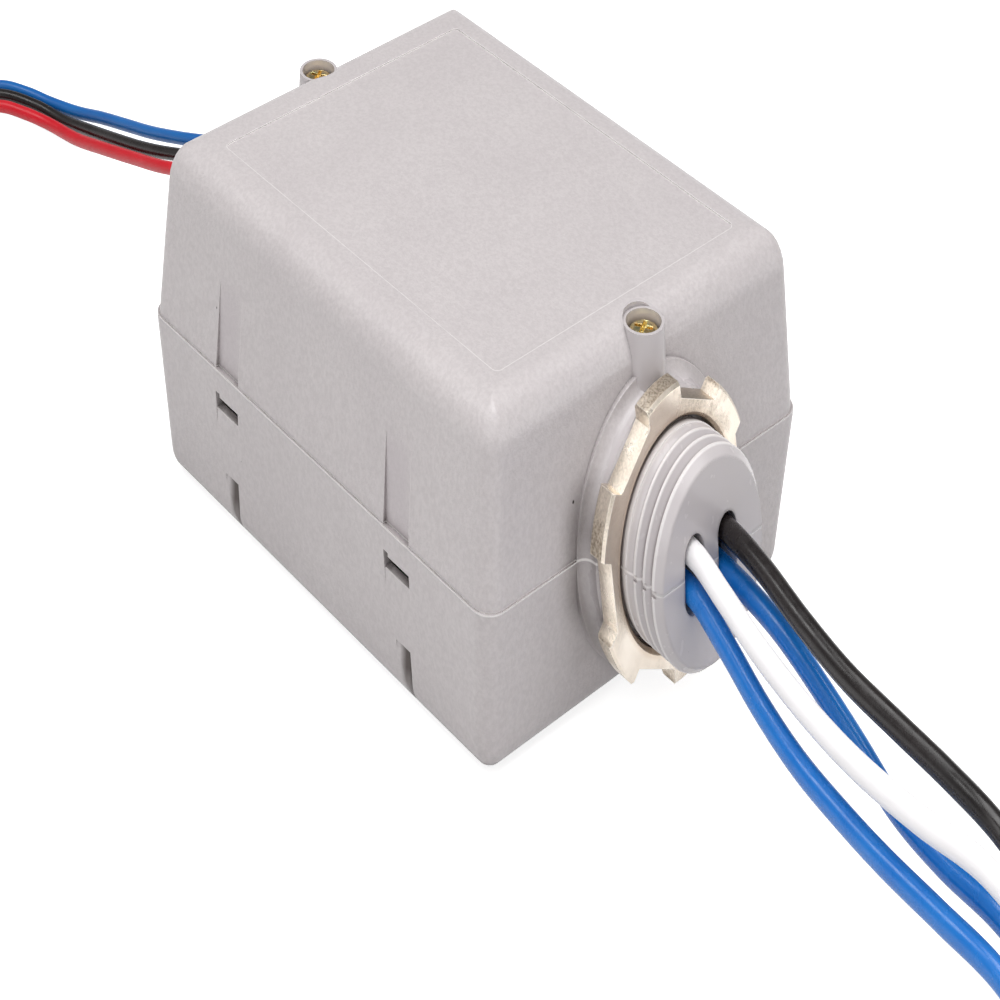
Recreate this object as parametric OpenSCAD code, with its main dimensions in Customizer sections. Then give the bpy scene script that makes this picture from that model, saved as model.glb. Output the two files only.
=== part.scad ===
// Occupancy sensor power pack: a two-shell moulded housing with a threaded
// chase nipple and locknut, its circuit inside, and seven free leads.
// +X is the nipple, +Z is up, and the origin is the middle of the flat base.

/* [Housing] */
// Length at the parting line
body_l = 80.5; // [78:0.5:90]
// Width at the parting line
body_w = 62.5; // [60:0.5:72]
// Height of the upper shell above the parting line
upper_h = 19.4; // [18.4:0.2:24]
// Height of the lower shell below the parting line
lower_h = 17.0; // [16.6:0.2:19]
// Wall thickness of both shells
wall = 2.2; // [2:0.1:2.6]
// Radius of the vertical corners
corner_r = 3.0; // [2.8:0.1:5]
// Radius rolled over the top edges
upper_edge_r = 4.5; // [3.5:0.1:5]
// Radius rolled under the bottom edges
lower_edge_r = 3.0; // [2:0.1:3.4]
// How far the upper walls lean in, up to the top edge radius
upper_lean = 0.4; // [0.2:0.1:1.4]
// How far the lower walls lean in, down to the bottom edge radius
lower_lean = 2.2; // [1.4:0.1:2.4]
// How far the upper shell stands back from the lower shell's rim
rim_step = 0.25; // [0.1:0.05:0.3]
// Upright land beside the parting line on each shell
land = 0.4; // [0.2:0.1:0.8]

/* [Label recess] */
// Length of the shallow recess on top
label_l = 65.6; // [50:0.2:66]
// Width of the shallow recess on top
label_w = 48.4; // [40:0.2:48.8]
// Depth of the shallow recess on top
label_depth = 0.15; // [0.1:0.05:0.5]
// Radius of the recess's corners
label_r = 1.0; // [0.6:0.2:4]
// How far the recess sits towards the nipple
label_shift = 0.9; // [0:0.1:1]

/* [Nipple] */
// Radius over the thread crests
thread_r = 10.67; // [10.2:0.01:11]
// Distance from one thread crest to the next
thread_pitch = 1.814; // [1.6:0.001:2]
// Depth of the thread
thread_depth = 0.95; // [0.8:0.05:1.2]
// Width of the flat on each thread crest
crest_flat = 0.3; // [0.2:0.05:0.6]
// Number of thread crests
crests = 5; // [4:1:5]
// How far the nipple stands out of the end wall
nipple_out = 12.25; // [11.8:0.05:13]
// Length of the plain lead-in beyond the last crest
lead_in = 1.3; // [1:0.1:1.5]
// Radius of the nipple's end face
nipple_end_r = 9.82; // [9.4:0.02:9.9]
// Radius of the passage inside the nipple
passage_r = 7.6; // [7.2:0.1:7.9]
// Thickness of the end plate that the leads come through
end_plate = 3.2; // [2.5:0.1:4]
// Half height of the flats on the crests beside the parting line
crest_relief = 0.35; // [0.2:0.05:0.8]
// Depth of those flats
relief_depth = 0.3; // [0.2:0.05:0.5]
// How much lower the first crest is than the others
runout = 0.25; // [0.2:0.05:0.4]

/* [Collar] */
// Radius of the collar round the nipple
collar_r = 13.0; // [12.6:0.1:13.4]
// How far the collar stands out of the end wall
collar_out = 2.35; // [2:0.05:2.8]
// Radius of the fillet between the collar and the end wall
collar_fillet = 1.7; // [1:0.1:1.8]
// How far the collar's root reaches inside the end wall
collar_root = 1.2; // [0.8:0.1:1.4]

/* [Lead slots] */
// Width of the slot for the black lead
right_slot_w = 3.62; // [3.4:0.02:3.8]
// Width of the slot for the white lead
left_slot_w = 3.8; // [3.4:0.02:3.9]
// Height of both slots
slot_h = 7.8; // [7:0.1:8.4]
// Width of the web between the slots
web_w = 2.8; // [2.6:0.1:3]
// Sideways offset of the web from the nipple's axis
web_offset = -0.4; // [-0.6:0.1:0]

/* [Locknut] */
// Thickness of the locknut
nut_t = 2.9; // [2.4:0.1:3.2]
// Distance of the flats between the lugs from the nut's axis
nut_flat_r = 12.65; // [12.4:0.05:13]
// Radius over the lugs
nut_lug_r = 14.8; // [14.4:0.1:15.6]
// Number of lugs
nut_lugs = 6; // [5:1:8]
// Width of each lug at its root
nut_lug_w = 6.4; // [5:0.1:7]
// Chamfer round the rim of the nut
nut_chamfer = 0.35; // [0.2:0.05:0.5]
// Turn of the first lug from the horizontal
nut_turn = 40; // [0:5:60]
// Clearance between the nut's bore and the thread crests
nut_clearance = 0.3; // [0.1:0.05:0.4]
// Chamfer round the nut's bore
bore_chamfer = 0.45; // [0.2:0.05:0.6]

/* [Screws] */
// Distance of each screw in from the end wall
screw_inset = 1.5; // [1.4:0.05:2.2]
// Radius of the screw's shank
screw_r = 1.45; // [1.3:0.05:1.5]
// Length of the screw's shank
screw_l = 20; // [18:0.5:22]
// Radius of the screw's head
screw_head_r = 2.4; // [2.2:0.05:2.45]
// Height of the screw's head
screw_head_h = 1.6; // [1.2:0.1:1.8]
// Depth of the head below the boss's rim
screw_sink = 0.6; // [0.4:0.1:1.6]
// Clearance round the shank in the upper shell
screw_clearance = 0.15; // [0.1:0.05:0.2]
// Clearance round the head in its counterbore
head_clearance = 0.25; // [0.15:0.05:0.3]
// Radius of each boss at its rim
boss_r = 3.1; // [3:0.05:3.3]
// How much each boss widens towards the parting line
boss_taper = 0.3; // [0.1:0.05:0.4]
// Depth of the boss's rim below the top of the housing
boss_drop = 0.6; // [0.3:0.1:0.8]
// Wall of the slim pillar round the front screw
pillar_wall = 1.0; // [0.9:0.05:1.05]

/* [Snap latches] */
// Distance of each latch from the middle of the long side
latch_x = 20.2; // [19:0.1:21]
// Width of each latch
latch_w = 5.6; // [5:0.1:6]
// Height of the tapering recess above the parting line
recess_h = 9.5; // [8:0.1:11]
// Depth of that recess at the parting line
recess_depth = 0.8; // [0.6:0.05:0.95]
// Depth of the window's top below the parting line
window_top = 2.95; // [2.7:0.05:3.6]
// Height of the window above its sill
window_slit = 1.25; // [1:0.05:1.4]
// Height of the window's sloping sill
sill_drop = 0.2; // [0.1:0.05:0.4]
// Depth of the window's sloping sill
sill_depth = 1.0; // [0.8:0.05:1.4]
// Width of the deep notch at one side of the window
deep_w = 1; // [0.6:0.1:1.2]
// Rise of that notch above the window
deep_rise = 0.4; // [0.2:0.05:0.6]
// Height of the fading recess under the window
fade_h = 2.6; // [2:0.1:4]
// Depth of the fading recess under the window
fade_depth = 0.12; // [0.05:0.01:0.3]
// Thickness of the snap arm behind the window
arm_t = 1.2; // [1:0.1:1.4]
// Thickness of the snap arm's hook at its tip
hook_tip = 0.55; // [0.4:0.05:0.7]
// How far the snap arm's hook stands out
hook_out = 2.1; // [1.6:0.05:2.3]
// Gap between the snap arm and the lower wall
arm_gap = 0.25; // [0.2:0.05:0.4]
// Sideways shift of the snap arm, clear of the deep notch
arm_shift = 0.45; // [0.3:0.05:0.6]
// How much narrower the snap arm is than the latch
arm_inset = 1.5; // [1.3:0.1:2]

/* [Pry notches] */
// Width of each notch at the foot of the long side
notch_w = 3.1; // [2.6:0.1:3.4]
// Sideways offset of the notch from its latch
notch_offset = 0.4; // [-0.6:0.1:1.2]
// Depth of the notch's top below the parting line
notch_top = 11.2; // [10:0.1:12]
// Depth of the notch at its deep side
notch_depth = 1.4; // [1:0.1:1.4]

/* [Locating ribs] */
// Height of the ribs that stand up inside the upper shell
rib_h = 1.2; // [0.8:0.1:1.6]
// Thickness of those ribs
rib_t = 0.9; // [0.8:0.05:1]
// Clearance round those ribs
rib_gap = 0.12; // [0.08:0.02:0.2]

/* [Circuit board] */
// Thickness of the board
board_t = 1.6; // [1.2:0.2:1.8]
// Height of the posts under the board
post_h = 2.0; // [1.8:0.1:3]
// Radius of the posts under the board
post_r = 2.5; // [2:0.1:3]
// Distance of each post from the board's edges
post_in = 4; // [3.5:0.1:5]
// Radius of the locating pin on each post
post_pin_r = 1.2; // [1:0.05:1.3]
// Clearance round each locating pin
pin_clearance = 0.15; // [0.1:0.05:0.25]
// Gap between the board and what stands round it
board_gap = 0.6; // [0.5:0.05:1]
// Distance of the small components from the board's long edges
edge_gap = 3.2; // [2.6:0.1:4]
// Thickness of the ribs that hold the board down
hold_t = 1.6; // [1.4:0.1:2]

/* [Transformer] */
// Width of the laminated core across the housing
core_w = 28; // [27:0.5:29]
// Height of the core
core_h = 22; // [21:0.5:22.5]
// Thickness of the stack of laminations
core_t = 11; // [10:0.5:12]
// Width of the core's middle leg
core_leg = 9.4; // [9:0.1:9.8]
// Width of the core's yokes and outer legs
core_yoke = 4.4; // [4:0.1:4.6]
// Gap between the core and the board
core_lift = 0.8; // [0.5:0.1:1.2]
// Wall of the bobbin
bobbin_wall = 0.9; // [0.8:0.1:1]
// Depth of the two windings together
winding_t = 3.4; // [3:0.1:3.4]

/* [Relay] */
// Length of the relay
relay_l = 29; // [27:0.5:29.5]
// Width of the relay
relay_w = 14; // [13:0.2:15]
// Height of the relay
relay_h = 16; // [15:0.5:18]
// Length of the sleeves on the relay's tabs
sleeve_l = 8; // [7:0.5:9]
// Width of those sleeves
sleeve_w = 3.6; // [3.2:0.1:3.8]
// Height of those sleeves
sleeve_h = 7; // [6:0.5:8]
// Distance of the relay's front end from the middle of the housing
relay_front = 21; // [19:0.5:21]
// Distance of each tab from the relay's middle
tab_y = 4.1; // [3.8:0.1:4.4]
// Height of the tabs above the board
tab_h = 9; // [8:0.5:11]

/* [Small components] */
// Radius of the varistor's disc
varistor_r = 7; // [6:0.5:7.5]
// Thickness of the varistor's disc
varistor_t = 4; // [3.5:0.1:4.5]
// Radius of the filter capacitor
filter_cap_r = 5; // [4:0.5:5.5]
// Height of the filter capacitor
filter_cap_h = 16; // [12:0.5:18]
// Radius of the output capacitor
output_cap_r = 3.15; // [2.5:0.05:3.5]
// Height of the output capacitor
output_cap_h = 11; // [9:0.5:12]
// Length of each rectifier diode's body
diode_l = 5.2; // [4.8:0.1:5.6]
// Radius of each rectifier diode's body
diode_r = 1.35; // [1.2:0.05:1.4]
// Radius of the wire legs
leg_r = 0.4; // [0.3:0.05:0.45]
// Height of the wire legs under the raised components
leg_h = 2.5; // [2:0.1:3]
// Gap between the relay and the components beside it
side_gap = 4; // [3:0.5:4.5]
// Distance from one small axial component to the next
axial_pitch = 3.6; // [3:0.1:4]
// Length of each resistor's body where there is room
resistor_l = 6.3; // [4:0.1:6.5]
// Reach of the wire legs beyond an axial component
axial_reach = 1.5; // [1.2:0.1:1.8]
// Width of the voltage regulator
regulator_w = 10; // [9:0.5:10.5]
// Thickness of the voltage regulator
regulator_t = 4.4; // [4:0.1:4.7]
// Radius of the driver transistor
transistor_r = 2.3; // [2:0.1:2.5]
// Length of the flyback diode's body
flyback_l = 3.8; // [3.4:0.1:4.2]

/* [Leads] */
// Diameter of the mains leads over their insulation
mains_d = 2.7; // [2.4:0.1:2.7]
// Diameter of the low-voltage leads over their insulation
sensor_d = 1.6; // [1.4:0.1:1.6]
// Diameter of a mains lead's bare strands
mains_strand_d = 1.8; // [1.5:0.1:2]
// Diameter of a low-voltage lead's bare strands
sensor_strand_d = 0.8; // [0.6:0.1:0.9]
// Distance of the rear lead slot from the middle of the end wall
rear_slot_y = 8; // [7:0.1:10]
// Distance from one lead to the next in the rear slot
rear_pitch = 2.1; // [1.9:0.1:2.4]
// Height of the rear lead slot
rear_slot_h = 2.2; // [2:0.1:2.6]

/* [Hidden] */
$fn = 64;

// Overrun of a cut past the face that it opens
past = 1;
// Facets round the rounded corners
corner_fn = 32;
// Steps of the roll from a wall into the far face
roll_steps = 8;
// Thickness of each step's disc
skin = 0.01;

// Places that follow from the sizes above
parting_z = lower_h;
end_x = body_l / 2;
side_y = body_w / 2;
nipple_end_x = end_x + nipple_out;
last_crest_x = nipple_end_x - lead_in;
collar_x = end_x + collar_out;
nut_bore_r = thread_r + nut_clearance;
screw_x = end_x - screw_inset;
rim_z = parting_z + upper_h - boss_drop;
seat_z = rim_z - screw_sink - screw_head_h;
pillar_r = screw_r + pillar_wall;
board_l = 2 * (screw_x - boss_r - boss_taper - board_gap);
board_w = body_w - 2 * (wall + lower_lean + board_gap);
board_z = wall + post_h;
board_top = board_z + board_t;
post_x = board_l / 2 - post_in;
post_y = board_w / 2 - post_in;
window_bottom = window_top + window_slit + sill_drop;
arm_y = side_y - wall - lower_lean * (window_bottom + 2.2) / (lower_h - lower_edge_r) - arm_gap;
relay_x = relay_front - relay_l;
tab_z = board_top + tab_h;
core_x = relay_x - board_gap - bobbin_wall * 2 - winding_t - core_t / 2;

// How far the upper wall stands inside the parting outline at a height above the parting line
function upper_in(h) = rim_step + upper_lean * max(h - land, 0) / (upper_h - upper_edge_r - land);

// How far the lower wall stands inside the parting outline at a depth below the parting line
function lower_in(d) = lower_lean * max(d - land, 0) / (lower_h - lower_edge_r - land);

// Points of an arc about the origin
function arc(r, from, to, steps) =
    [for (i = [0:steps]) let (a = from + (to - from) * i / steps) [r * cos(a), r * sin(a)]];

// One thread ridge of the nipple's profile, as radius and distance along the axis
function ridge(x, r) = [
    [thread_r - thread_depth, x - thread_pitch / 2],
    [r, x - crest_flat / 2],
    [r, x + crest_flat / 2]
];

// Routes of the leads, from where each is joined inside to its free end
mains_black_route = [
    [27.5, 9, 5.8], [27.5, 9, 9.6], [29, 8.3, 12.9], [32.9, 6.6, 17.1], [38.5, 4.2, 18.9],
    [45, 3.4, 18.9], [52.5, 2.8, 19.1], [60, 2, 18.8], [69, 0.8, 17.6], [77, 0.5, 16.3], [85, 1.3, 15],
    [93, 2.1, 13.8], [101, 2.4, 12.5], [108, 3.3, 9], [115, 3.8, 5.4], [121, 4.2, 2.5],
    [127, 4.3, 1.4], [133, 5.8, 1.4], [137.4, 10.1, 1.4], [139, 17, 1.4], [137.4, 23, 1.4],
    [133, 27.4, 1.4], [127, 29, 1.4], [115, 29.2, 1.4], [103, 28.8, 1.4]
];
mains_white_route = [
    [27.5, -9, 5.8], [27.5, -9, 9.6], [29, -8.3, 12.8], [32.9, -6.6, 17], [38.5, -4.2, 18.8],
    [45, -3.8, 18.8], [52.5, -3.6, 18.8], [58, -3.7, 17.2], [65.4, -3.7, 14.8], [74, -3.6, 12.9],
    [83, -4.1, 12.4], [93, -3.9, 12.3], [103, -2.6, 11.9], [111, -1.5, 8.7], [118, -1.6, 4.9],
    [123, -1.8, 2.4], [127, -1.9, 1.4], [136.1, 0.3, 1.4], [142.8, 6.9, 1.4], [145.2, 17, 1.4],
    [142.8, 26.1, 1.4], [136.1, 32.8, 1.4], [127, 35.2, 1.4], [120, 35.4, 1.4]
];
load_left_route = [
    [29, -4.1, 14.8], [34, -4.1, 14.8], [40, -4.1, 14.8], [46, -3.9, 15], [52.5, -3.9, 15.2],
    [58.6, -3.9, 12.9], [65.5, -4.1, 10], [72.5, -4.4, 8.1], [80.5, -4.7, 7.1], [88, -5, 6.6],
    [97, -4.9, 6.1], [106, -4.6, 5.3], [113, -4.4, 2.7], [120, -4.8, 1.6], [127, -5, 1.4],
    [137.7, -2.3, 1.4], [145.4, 5.4, 1.4], [148.3, 17, 1.4], [145.4, 27.6, 1.4], [137.7, 35.4, 1.4],
    [127, 38.2, 1.4]
];
load_right_route = [
    [29, 4.1, 14.8], [34, 4.1, 14.8], [40, 4.1, 14.9], [46, 3.1, 15], [52.5, 2.4, 15.3], [58, 2.2, 15],
    [64, 1.8, 14.3], [71.3, 1.4, 12.4], [78, 1.1, 10.2], [85, 0.6, 7.9], [93, 0.4, 6.8],
    [102, 0.6, 6.2], [110, 1.2, 3.7], [118, 1.3, 1.9], [127, 1.2, 1.4], [134.6, 3.1, 1.4],
    [140.1, 8.6, 1.4], [142.1, 17, 1.4], [140.1, 24.6, 1.4], [134.6, 30.1, 1.4], [127, 32.1, 1.4],
    [108, 32.5, 1.4]
];
sensor_blue_route = [
    [-32.5, 10.1, 5.8], [-32.5, 10.1, 11], [-34.3, 10.1, 15.2], [-38.5, 10.1, 17], [-43, 10.1, 16.9],
    [-49, 9.8, 16.9], [-57, 9, 16.1], [-65, 7.7, 14.6], [-73, 5.8, 12.9], [-81, 4.4, 11],
    [-89.7, 3.9, 8.8], [-97, 3.9, 7.1], [-105, 3.8, 5.3], [-112, 3.3, 3.7], [-119, 2, 2.9],
    [-124, 0.2, 3], [-128.8, -2.5, 3], [-134.4, -8.3, 2], [-137, -17.3, 0.9], [-134.4, -26.9, 0.9],
    [-127.5, -33.8, 0.9], [-119, -36.3, 0.9]
];
sensor_black_route = [
    [-32.5, 8, 5.8], [-32.5, 8, 11], [-34.3, 8, 15.2], [-38.5, 8, 17], [-43, 8, 16.9],
    [-50, 7.4, 16.6], [-58, 6.3, 15.6], [-66, 4.6, 13.8], [-74, 2.8, 11.7], [-82, 1.5, 9.7],
    [-89, 1.1, 8], [-97, 1.1, 6.2], [-105, 1.3, 4.4], [-113.5, 1.1, 2.8], [-120, -0.5, 2.9],
    [-126.6, -3.9, 3], [-132.4, -9.5, 1.9], [-134.6, -17.3, 0.9], [-132.4, -25.7, 0.9],
    [-126.3, -31.8, 0.9], [-117.9, -34, 0.9], [-111, -34.2, 0.9]
];
sensor_red_route = [
    [-32.5, 5.9, 5.8], [-32.5, 5.9, 11], [-34.3, 5.9, 15.2], [-38.5, 5.9, 17], [-43, 5.9, 16.9],
    [-50, 5, 16.5], [-58, 3.6, 15.1], [-66, 1.7, 13], [-73, 0.2, 11.1], [-80, -0.8, 9.4],
    [-88, -0.8, 7.5], [-98, -0.9, 5.3], [-106, -0.9, 3.6], [-114, -1.3, 2.8], [-119, -3, 2.9],
    [-124, -5.5, 2.9], [-130, -10.8, 1.9], [-131.9, -17.3, 0.9], [-130, -24.3, 0.9],
    [-124.9, -29.4, 0.9], [-117.9, -31.3, 0.9], [-103.5, -31.6, 0.9]
];

// Stretch of bare strands past the end of a route
function strands_route(route, l) =
    let (last = route[len(route) - 1], run = last - route[len(route) - 2])
    [last, last + run * l / norm(run)];

// Unit direction of a route at one of its points
function heading(route, i) =
    let (
        a = route[max(i - 1, 0)],
        b = route[min(i + 1, len(route) - 1)]
    ) (b - a) / norm(b - a);

// Ring of points square to the route, with one corner of the ring to the side
function ring(route, i, r, sides) =
    let (
        t = heading(route, i),
        side = cross(t, abs(t[2]) > 0.8 ? [0, 1, 0] : [0, 0, 1]),
        u = side / norm(side),
        v = cross(u, t)
    ) [for (k = [0:sides - 1]) route[i] + r * (cos(k * 360 / sides) * u + sin(k * 360 / sides) * v)];

// Round lead swept along a route, as one closed tube
module lead_tube(route, d, sides = 8) {
    count = len(route);
    points = [for (i = [0:count - 1]) each ring(route, i, d / 2, sides)];
    walls = [for (i = [0:count - 2], k = [0:sides - 1])
        [i * sides + k, i * sides + (k + 1) % sides,
         (i + 1) * sides + (k + 1) % sides, (i + 1) * sides + k]];
    first = [for (k = [sides - 1:-1:0]) k];
    last = [for (k = [0:sides - 1]) (count - 1) * sides + k];
    polyhedron(points, concat([first], walls, [last]), convexity = 8);
}

// Solid between two heights, wide enough to take in the whole housing
module slice(low, high) {
    translate([-body_l, -body_w, low]) cube([2 * body_l, 2 * body_w, high - low]);
}

// Extrudes a drawing of Y and Z along X, centred at x
module along_x(x, l) {
    translate([x - l / 2, 0, 0]) rotate([90, 0, 90]) linear_extrude(l) children();
}

// Repeats its children at the four latches
module at_latches() {
    for (x = [-latch_x, latch_x]) {
        translate([x, 0, 0]) children();
        translate([x, 0, 0]) mirror([0, 1, 0]) children();
    }
}

// Half ball with its flat side down
module half_ball(r) {
    rotate_extrude($fn = corner_fn) polygon(concat([[0, 0]], arc(r, 0, 90, corner_fn / 4)));
}

// Drafted block whose walls roll over into a flat far face, with its corners as sharp up there as below
module drafted_block(l, w, h, lean, r, edge_r) {
    hull() for (x = [-1, 1], y = [-1, 1]) {
        translate([x * (l / 2 - r), y * (w / 2 - r), 0]) cylinder(r = r, h = land, $fn = corner_fn);
        for (p = arc(edge_r, 0, 90, roll_steps))
            let (in = edge_r - p[0], turn_r = max(r - in, 0.3), out = lean + in + turn_r)
                translate([x * (l / 2 - out), y * (w / 2 - out), h - edge_r + p[1] - skin])
                    cylinder(r = turn_r, h = skin, $fn = corner_fn);
    }
}

module upper_form(inset, r, edge_r) {
    translate([0, 0, parting_z])
        drafted_block(body_l - 2 * inset, body_w - 2 * inset, upper_h + rim_step - inset,
                      upper_lean, r, edge_r);
}

module lower_form(inset, r, edge_r) {
    translate([0, 0, parting_z]) mirror([0, 0, 1])
        drafted_block(body_l - 2 * inset, body_w - 2 * inset, lower_h - inset, lower_lean, r, edge_r);
}

// Collar, fillet and thread as one turned form about the nipple's axis
module nipple_form() {
    fillet = [for (p = arc(collar_fillet, 180, 270, 6))
        [collar_r + collar_fillet + p[1], end_x + collar_fillet + p[0]]];
    profile = concat(
        [[0, end_x - wall - collar_root], [collar_r + collar_fillet, end_x - wall - collar_root]],
        fillet,
        [[collar_r, collar_x - 0.3], [collar_r - 0.3, collar_x], [thread_r - thread_depth, collar_x]],
        [for (i = [crests - 1:-1:0])
            each ridge(last_crest_x - i * thread_pitch, thread_r - (i == crests - 1 ? runout : 0))],
        [[nipple_end_r, nipple_end_x], [0, nipple_end_x]]
    );
    translate([0, 0, parting_z]) rotate([0, 90, 0]) rotate_extrude($fn = 96) polygon(profile);
}

// Flats beside the parting line that let the thread leave its mould
module crest_reliefs() {
    for (y = [-1, 1])
        translate([(collar_x + nipple_end_x) / 2, y * thread_r, parting_z])
            cube([nipple_end_x - collar_x, 2 * relief_depth, 2 * crest_relief], center = true);
}

// Hollow of the nipple, open to the inside of the housing
module nipple_hollow() {
    translate([end_x - wall - collar_root - past, 0, parting_z]) rotate([0, 90, 0])
        cylinder(r = passage_r, h = nipple_end_x - end_plate - (end_x - wall - collar_root - past));
}

// Slot for two leads, one above the other
module lead_slot(y, w) {
    translate([nipple_end_x - end_plate - past, y, parting_z]) rotate([0, 90, 0]) {
        for (x = [-1, 1]) translate([x * (slot_h - w) / 2, 0, 0]) cylinder(d = w, h = end_plate + 2 * past);
        translate([-(slot_h - w) / 2, -w / 2, 0]) cube([slot_h - w, w, end_plate + 2 * past]);
    }
}

module lead_slots() {
    lead_slot(web_offset + web_w / 2 + right_slot_w / 2, right_slot_w);
    lead_slot(web_offset - web_w / 2 - left_slot_w / 2, left_slot_w);
}

// Web that joins the front screw's pillar to the end plate
module web() {
    intersection() {
        nipple_hollow();
        translate([screw_x, web_offset - web_w / 2, parting_z - passage_r])
            cube([nipple_end_x - screw_x, web_w, 2 * passage_r]);
    }
}

// Slot at the parting line for the low-voltage leads, as far as the wall is thick
module rear_slot() {
    translate([-end_x - past, 0, parting_z]) rotate([0, 90, 0]) {
        for (y = [-1, 1]) translate([0, rear_slot_y + y * rear_pitch, 0])
            cylinder(d = rear_slot_h, h = wall + 2 * past);
        translate([-rear_slot_h / 2, rear_slot_y - rear_pitch, 0])
            cube([rear_slot_h, 2 * rear_pitch, wall + 2 * past]);
    }
}

// Bars of the lower shell's locating ribs, grown all round by a clearance
module locating_ribs(grow) {
    long_bar = 2 * (latch_x - latch_w);
    end_bar = side_y - corner_r - collar_r - collar_fillet - 1;
    for (y = [-1, 1]) {
        translate([0, y * (side_y - wall + rib_t / 2), parting_z])
            cube([long_bar + 2 * grow, rib_t + 2 * grow, 2 * (rib_h + grow)], center = true);
        for (x = [-1, 1])
            translate([x * (end_x - wall + rib_t / 2), y * (side_y - corner_r - end_bar / 2), parting_z])
                cube([rib_t + 2 * grow, end_bar + 2 * grow, 2 * (rib_h + grow)], center = true);
    }
}

// Tapering recess that runs down to the parting line above one latch
module upper_recess() {
    along_x(0, latch_w) polygon([
        [-side_y + upper_in(recess_h), parting_z + recess_h],
        [-side_y + recess_depth, parting_z],
        [-side_y + recess_depth, parting_z - past],
        [-side_y - past, parting_z - past],
        [-side_y - past, parting_z + recess_h]
    ]);
}

// Window with a sloping sill, and the fading recess below it
module latch_window() {
    slit_z = parting_z - window_top - window_slit;
    face = -side_y + lower_in(window_bottom);
    inside = -side_y + 2 * wall;
    ridge_y = face + sill_depth;
    along_x(0, latch_w) polygon([
        [inside, parting_z - window_top],
        [inside, slit_z - (inside - ridge_y)],
        [ridge_y, slit_z],
        [face + fade_depth, parting_z - window_bottom],
        [face + lower_in(fade_h), parting_z - window_bottom - fade_h],
        [-side_y - past, parting_z - window_bottom - fade_h],
        [-side_y - past, parting_z - window_top]
    ]);
    along_x(deep_w / 2 - latch_w / 2, deep_w) polygon([
        [inside, parting_z - window_top + deep_rise],
        [inside, parting_z - window_bottom],
        [-side_y - past, parting_z - window_bottom],
        [-side_y - past, parting_z - window_top + deep_rise]
    ]);
}

// Notch at the foot of the wall, shallow on one side and deep on the other
module pry_notch() {
    face = side_y - lower_in(notch_top);
    foot = side_y - lower_lean - notch_depth;
    for (side = [0, 1]) mirror([0, side, 0])
        translate([notch_offset, 0, -past]) linear_extrude(parting_z - notch_top + past) polygon([
            [-notch_w / 2, -face - past],
            [-notch_w / 2, -face + 0.1],
            [-notch_w * 0.1, -face + notch_depth * 0.25],
            [notch_w * 0.2, -face + notch_depth * 0.6],
            [notch_w * 0.42, -foot],
            [notch_w / 2, -foot],
            [notch_w / 2, -face - past]
        ]);
}

// Snap arm of the upper shell, with the hook that catches in the window
module snap_arm() {
    tip_z = parting_z - window_bottom - 2;
    root_z = parting_z + rib_h + 0.8;
    hook_z = parting_z - window_top - 0.1;
    hook_low = hook_z - hook_tip;
    along_x(arm_shift, latch_w - arm_inset) polygon([
        [-arm_y, tip_z + 0.4],
        [-arm_y, hook_low - hook_out],
        [-arm_y - hook_out, hook_low],
        [-arm_y - hook_out, hook_z],
        [-arm_y, hook_z],
        [-arm_y, root_z],
        [-side_y + wall - 0.4, root_z],
        [-side_y + wall - 0.4, root_z + 4],
        [-arm_y + arm_t, root_z + 2],
        [-arm_y + arm_t, tip_z],
        [-arm_y + 0.4, tip_z]
    ]);
}

// Rib that reaches down from the upper shell to hold one edge of the board
module hold_rib() {
    root_z = parting_z + rib_h + 0.8;
    edge = board_w / 2 + 0.2;
    along_x(0, hold_t) polygon([
        [-edge, board_top],
        [-edge, root_z],
        [-side_y + wall - 0.4, root_z],
        [-side_y + wall - 0.4, root_z + 5],
        [-edge + hold_t, root_z + 3],
        [-edge + hold_t, board_top]
    ]);
}

// Boss round one screw in the upper shell, from a height up to its rim
module boss(low) {
    translate([0, 0, low]) cylinder(r1 = boss_r + boss_taper, r2 = boss_r, h = rim_z - low);
}

module upper_screw_cuts() {
    translate([0, 0, seat_z]) cylinder(r = screw_head_r + head_clearance, h = upper_h);
    translate([0, 0, parting_z - past])
        cylinder(r = screw_r + screw_clearance, h = seat_z - parting_z + past);
    translate([0, 0, rim_z]) cylinder(r = boss_r, h = upper_h);
}

// Shallow recess in the top with rounded corners
module label_recess() {
    translate([label_shift, 0, parting_z + upper_h - label_depth]) {
        cube_l = label_l - 2 * label_r;
        translate([-cube_l / 2, -label_w / 2, 0]) cube([cube_l, label_w, past]);
        translate([-label_l / 2, label_r - label_w / 2, 0]) cube([label_l, label_w - 2 * label_r, past]);
        for (x = [-1, 1], y = [-1, 1])
            translate([x * cube_l / 2, y * (label_w / 2 - label_r), 0]) cylinder(r = label_r, h = past);
    }
}

module upper_shell() {
    color([0.82, 0.8, 0.79]) difference() {
        union() {
            difference() {
                union() {
                    upper_form(rim_step, corner_r, upper_edge_r);
                    intersection() {
                        nipple_form();
                        slice(parting_z, parting_z + upper_h);
                    }
                }
                intersection() {
                    upper_form(wall, max(corner_r - wall, 0.6), upper_edge_r - wall + rim_step);
                    slice(0, parting_z + upper_h - wall);
                }
                nipple_hollow();
            }
            intersection() {
                union() {
                    web();
                    translate([screw_x, 0, parting_z]) cylinder(r = pillar_r, h = passage_r + 1);
                }
                slice(parting_z, parting_z + upper_h);
            }
            translate([screw_x, 0, 0]) boss(parting_z + passage_r);
            translate([-screw_x, 0, 0]) boss(parting_z);
            at_latches() snap_arm();
            hold_rib();
            mirror([0, 1, 0]) hold_rib();
        }
        lead_slots();
        rear_slot();
        crest_reliefs();
        locating_ribs(rib_gap);
        for (x = [-screw_x, screw_x]) translate([x, 0, 0]) upper_screw_cuts();
        at_latches() upper_recess();
        label_recess();
    }
}

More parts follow.
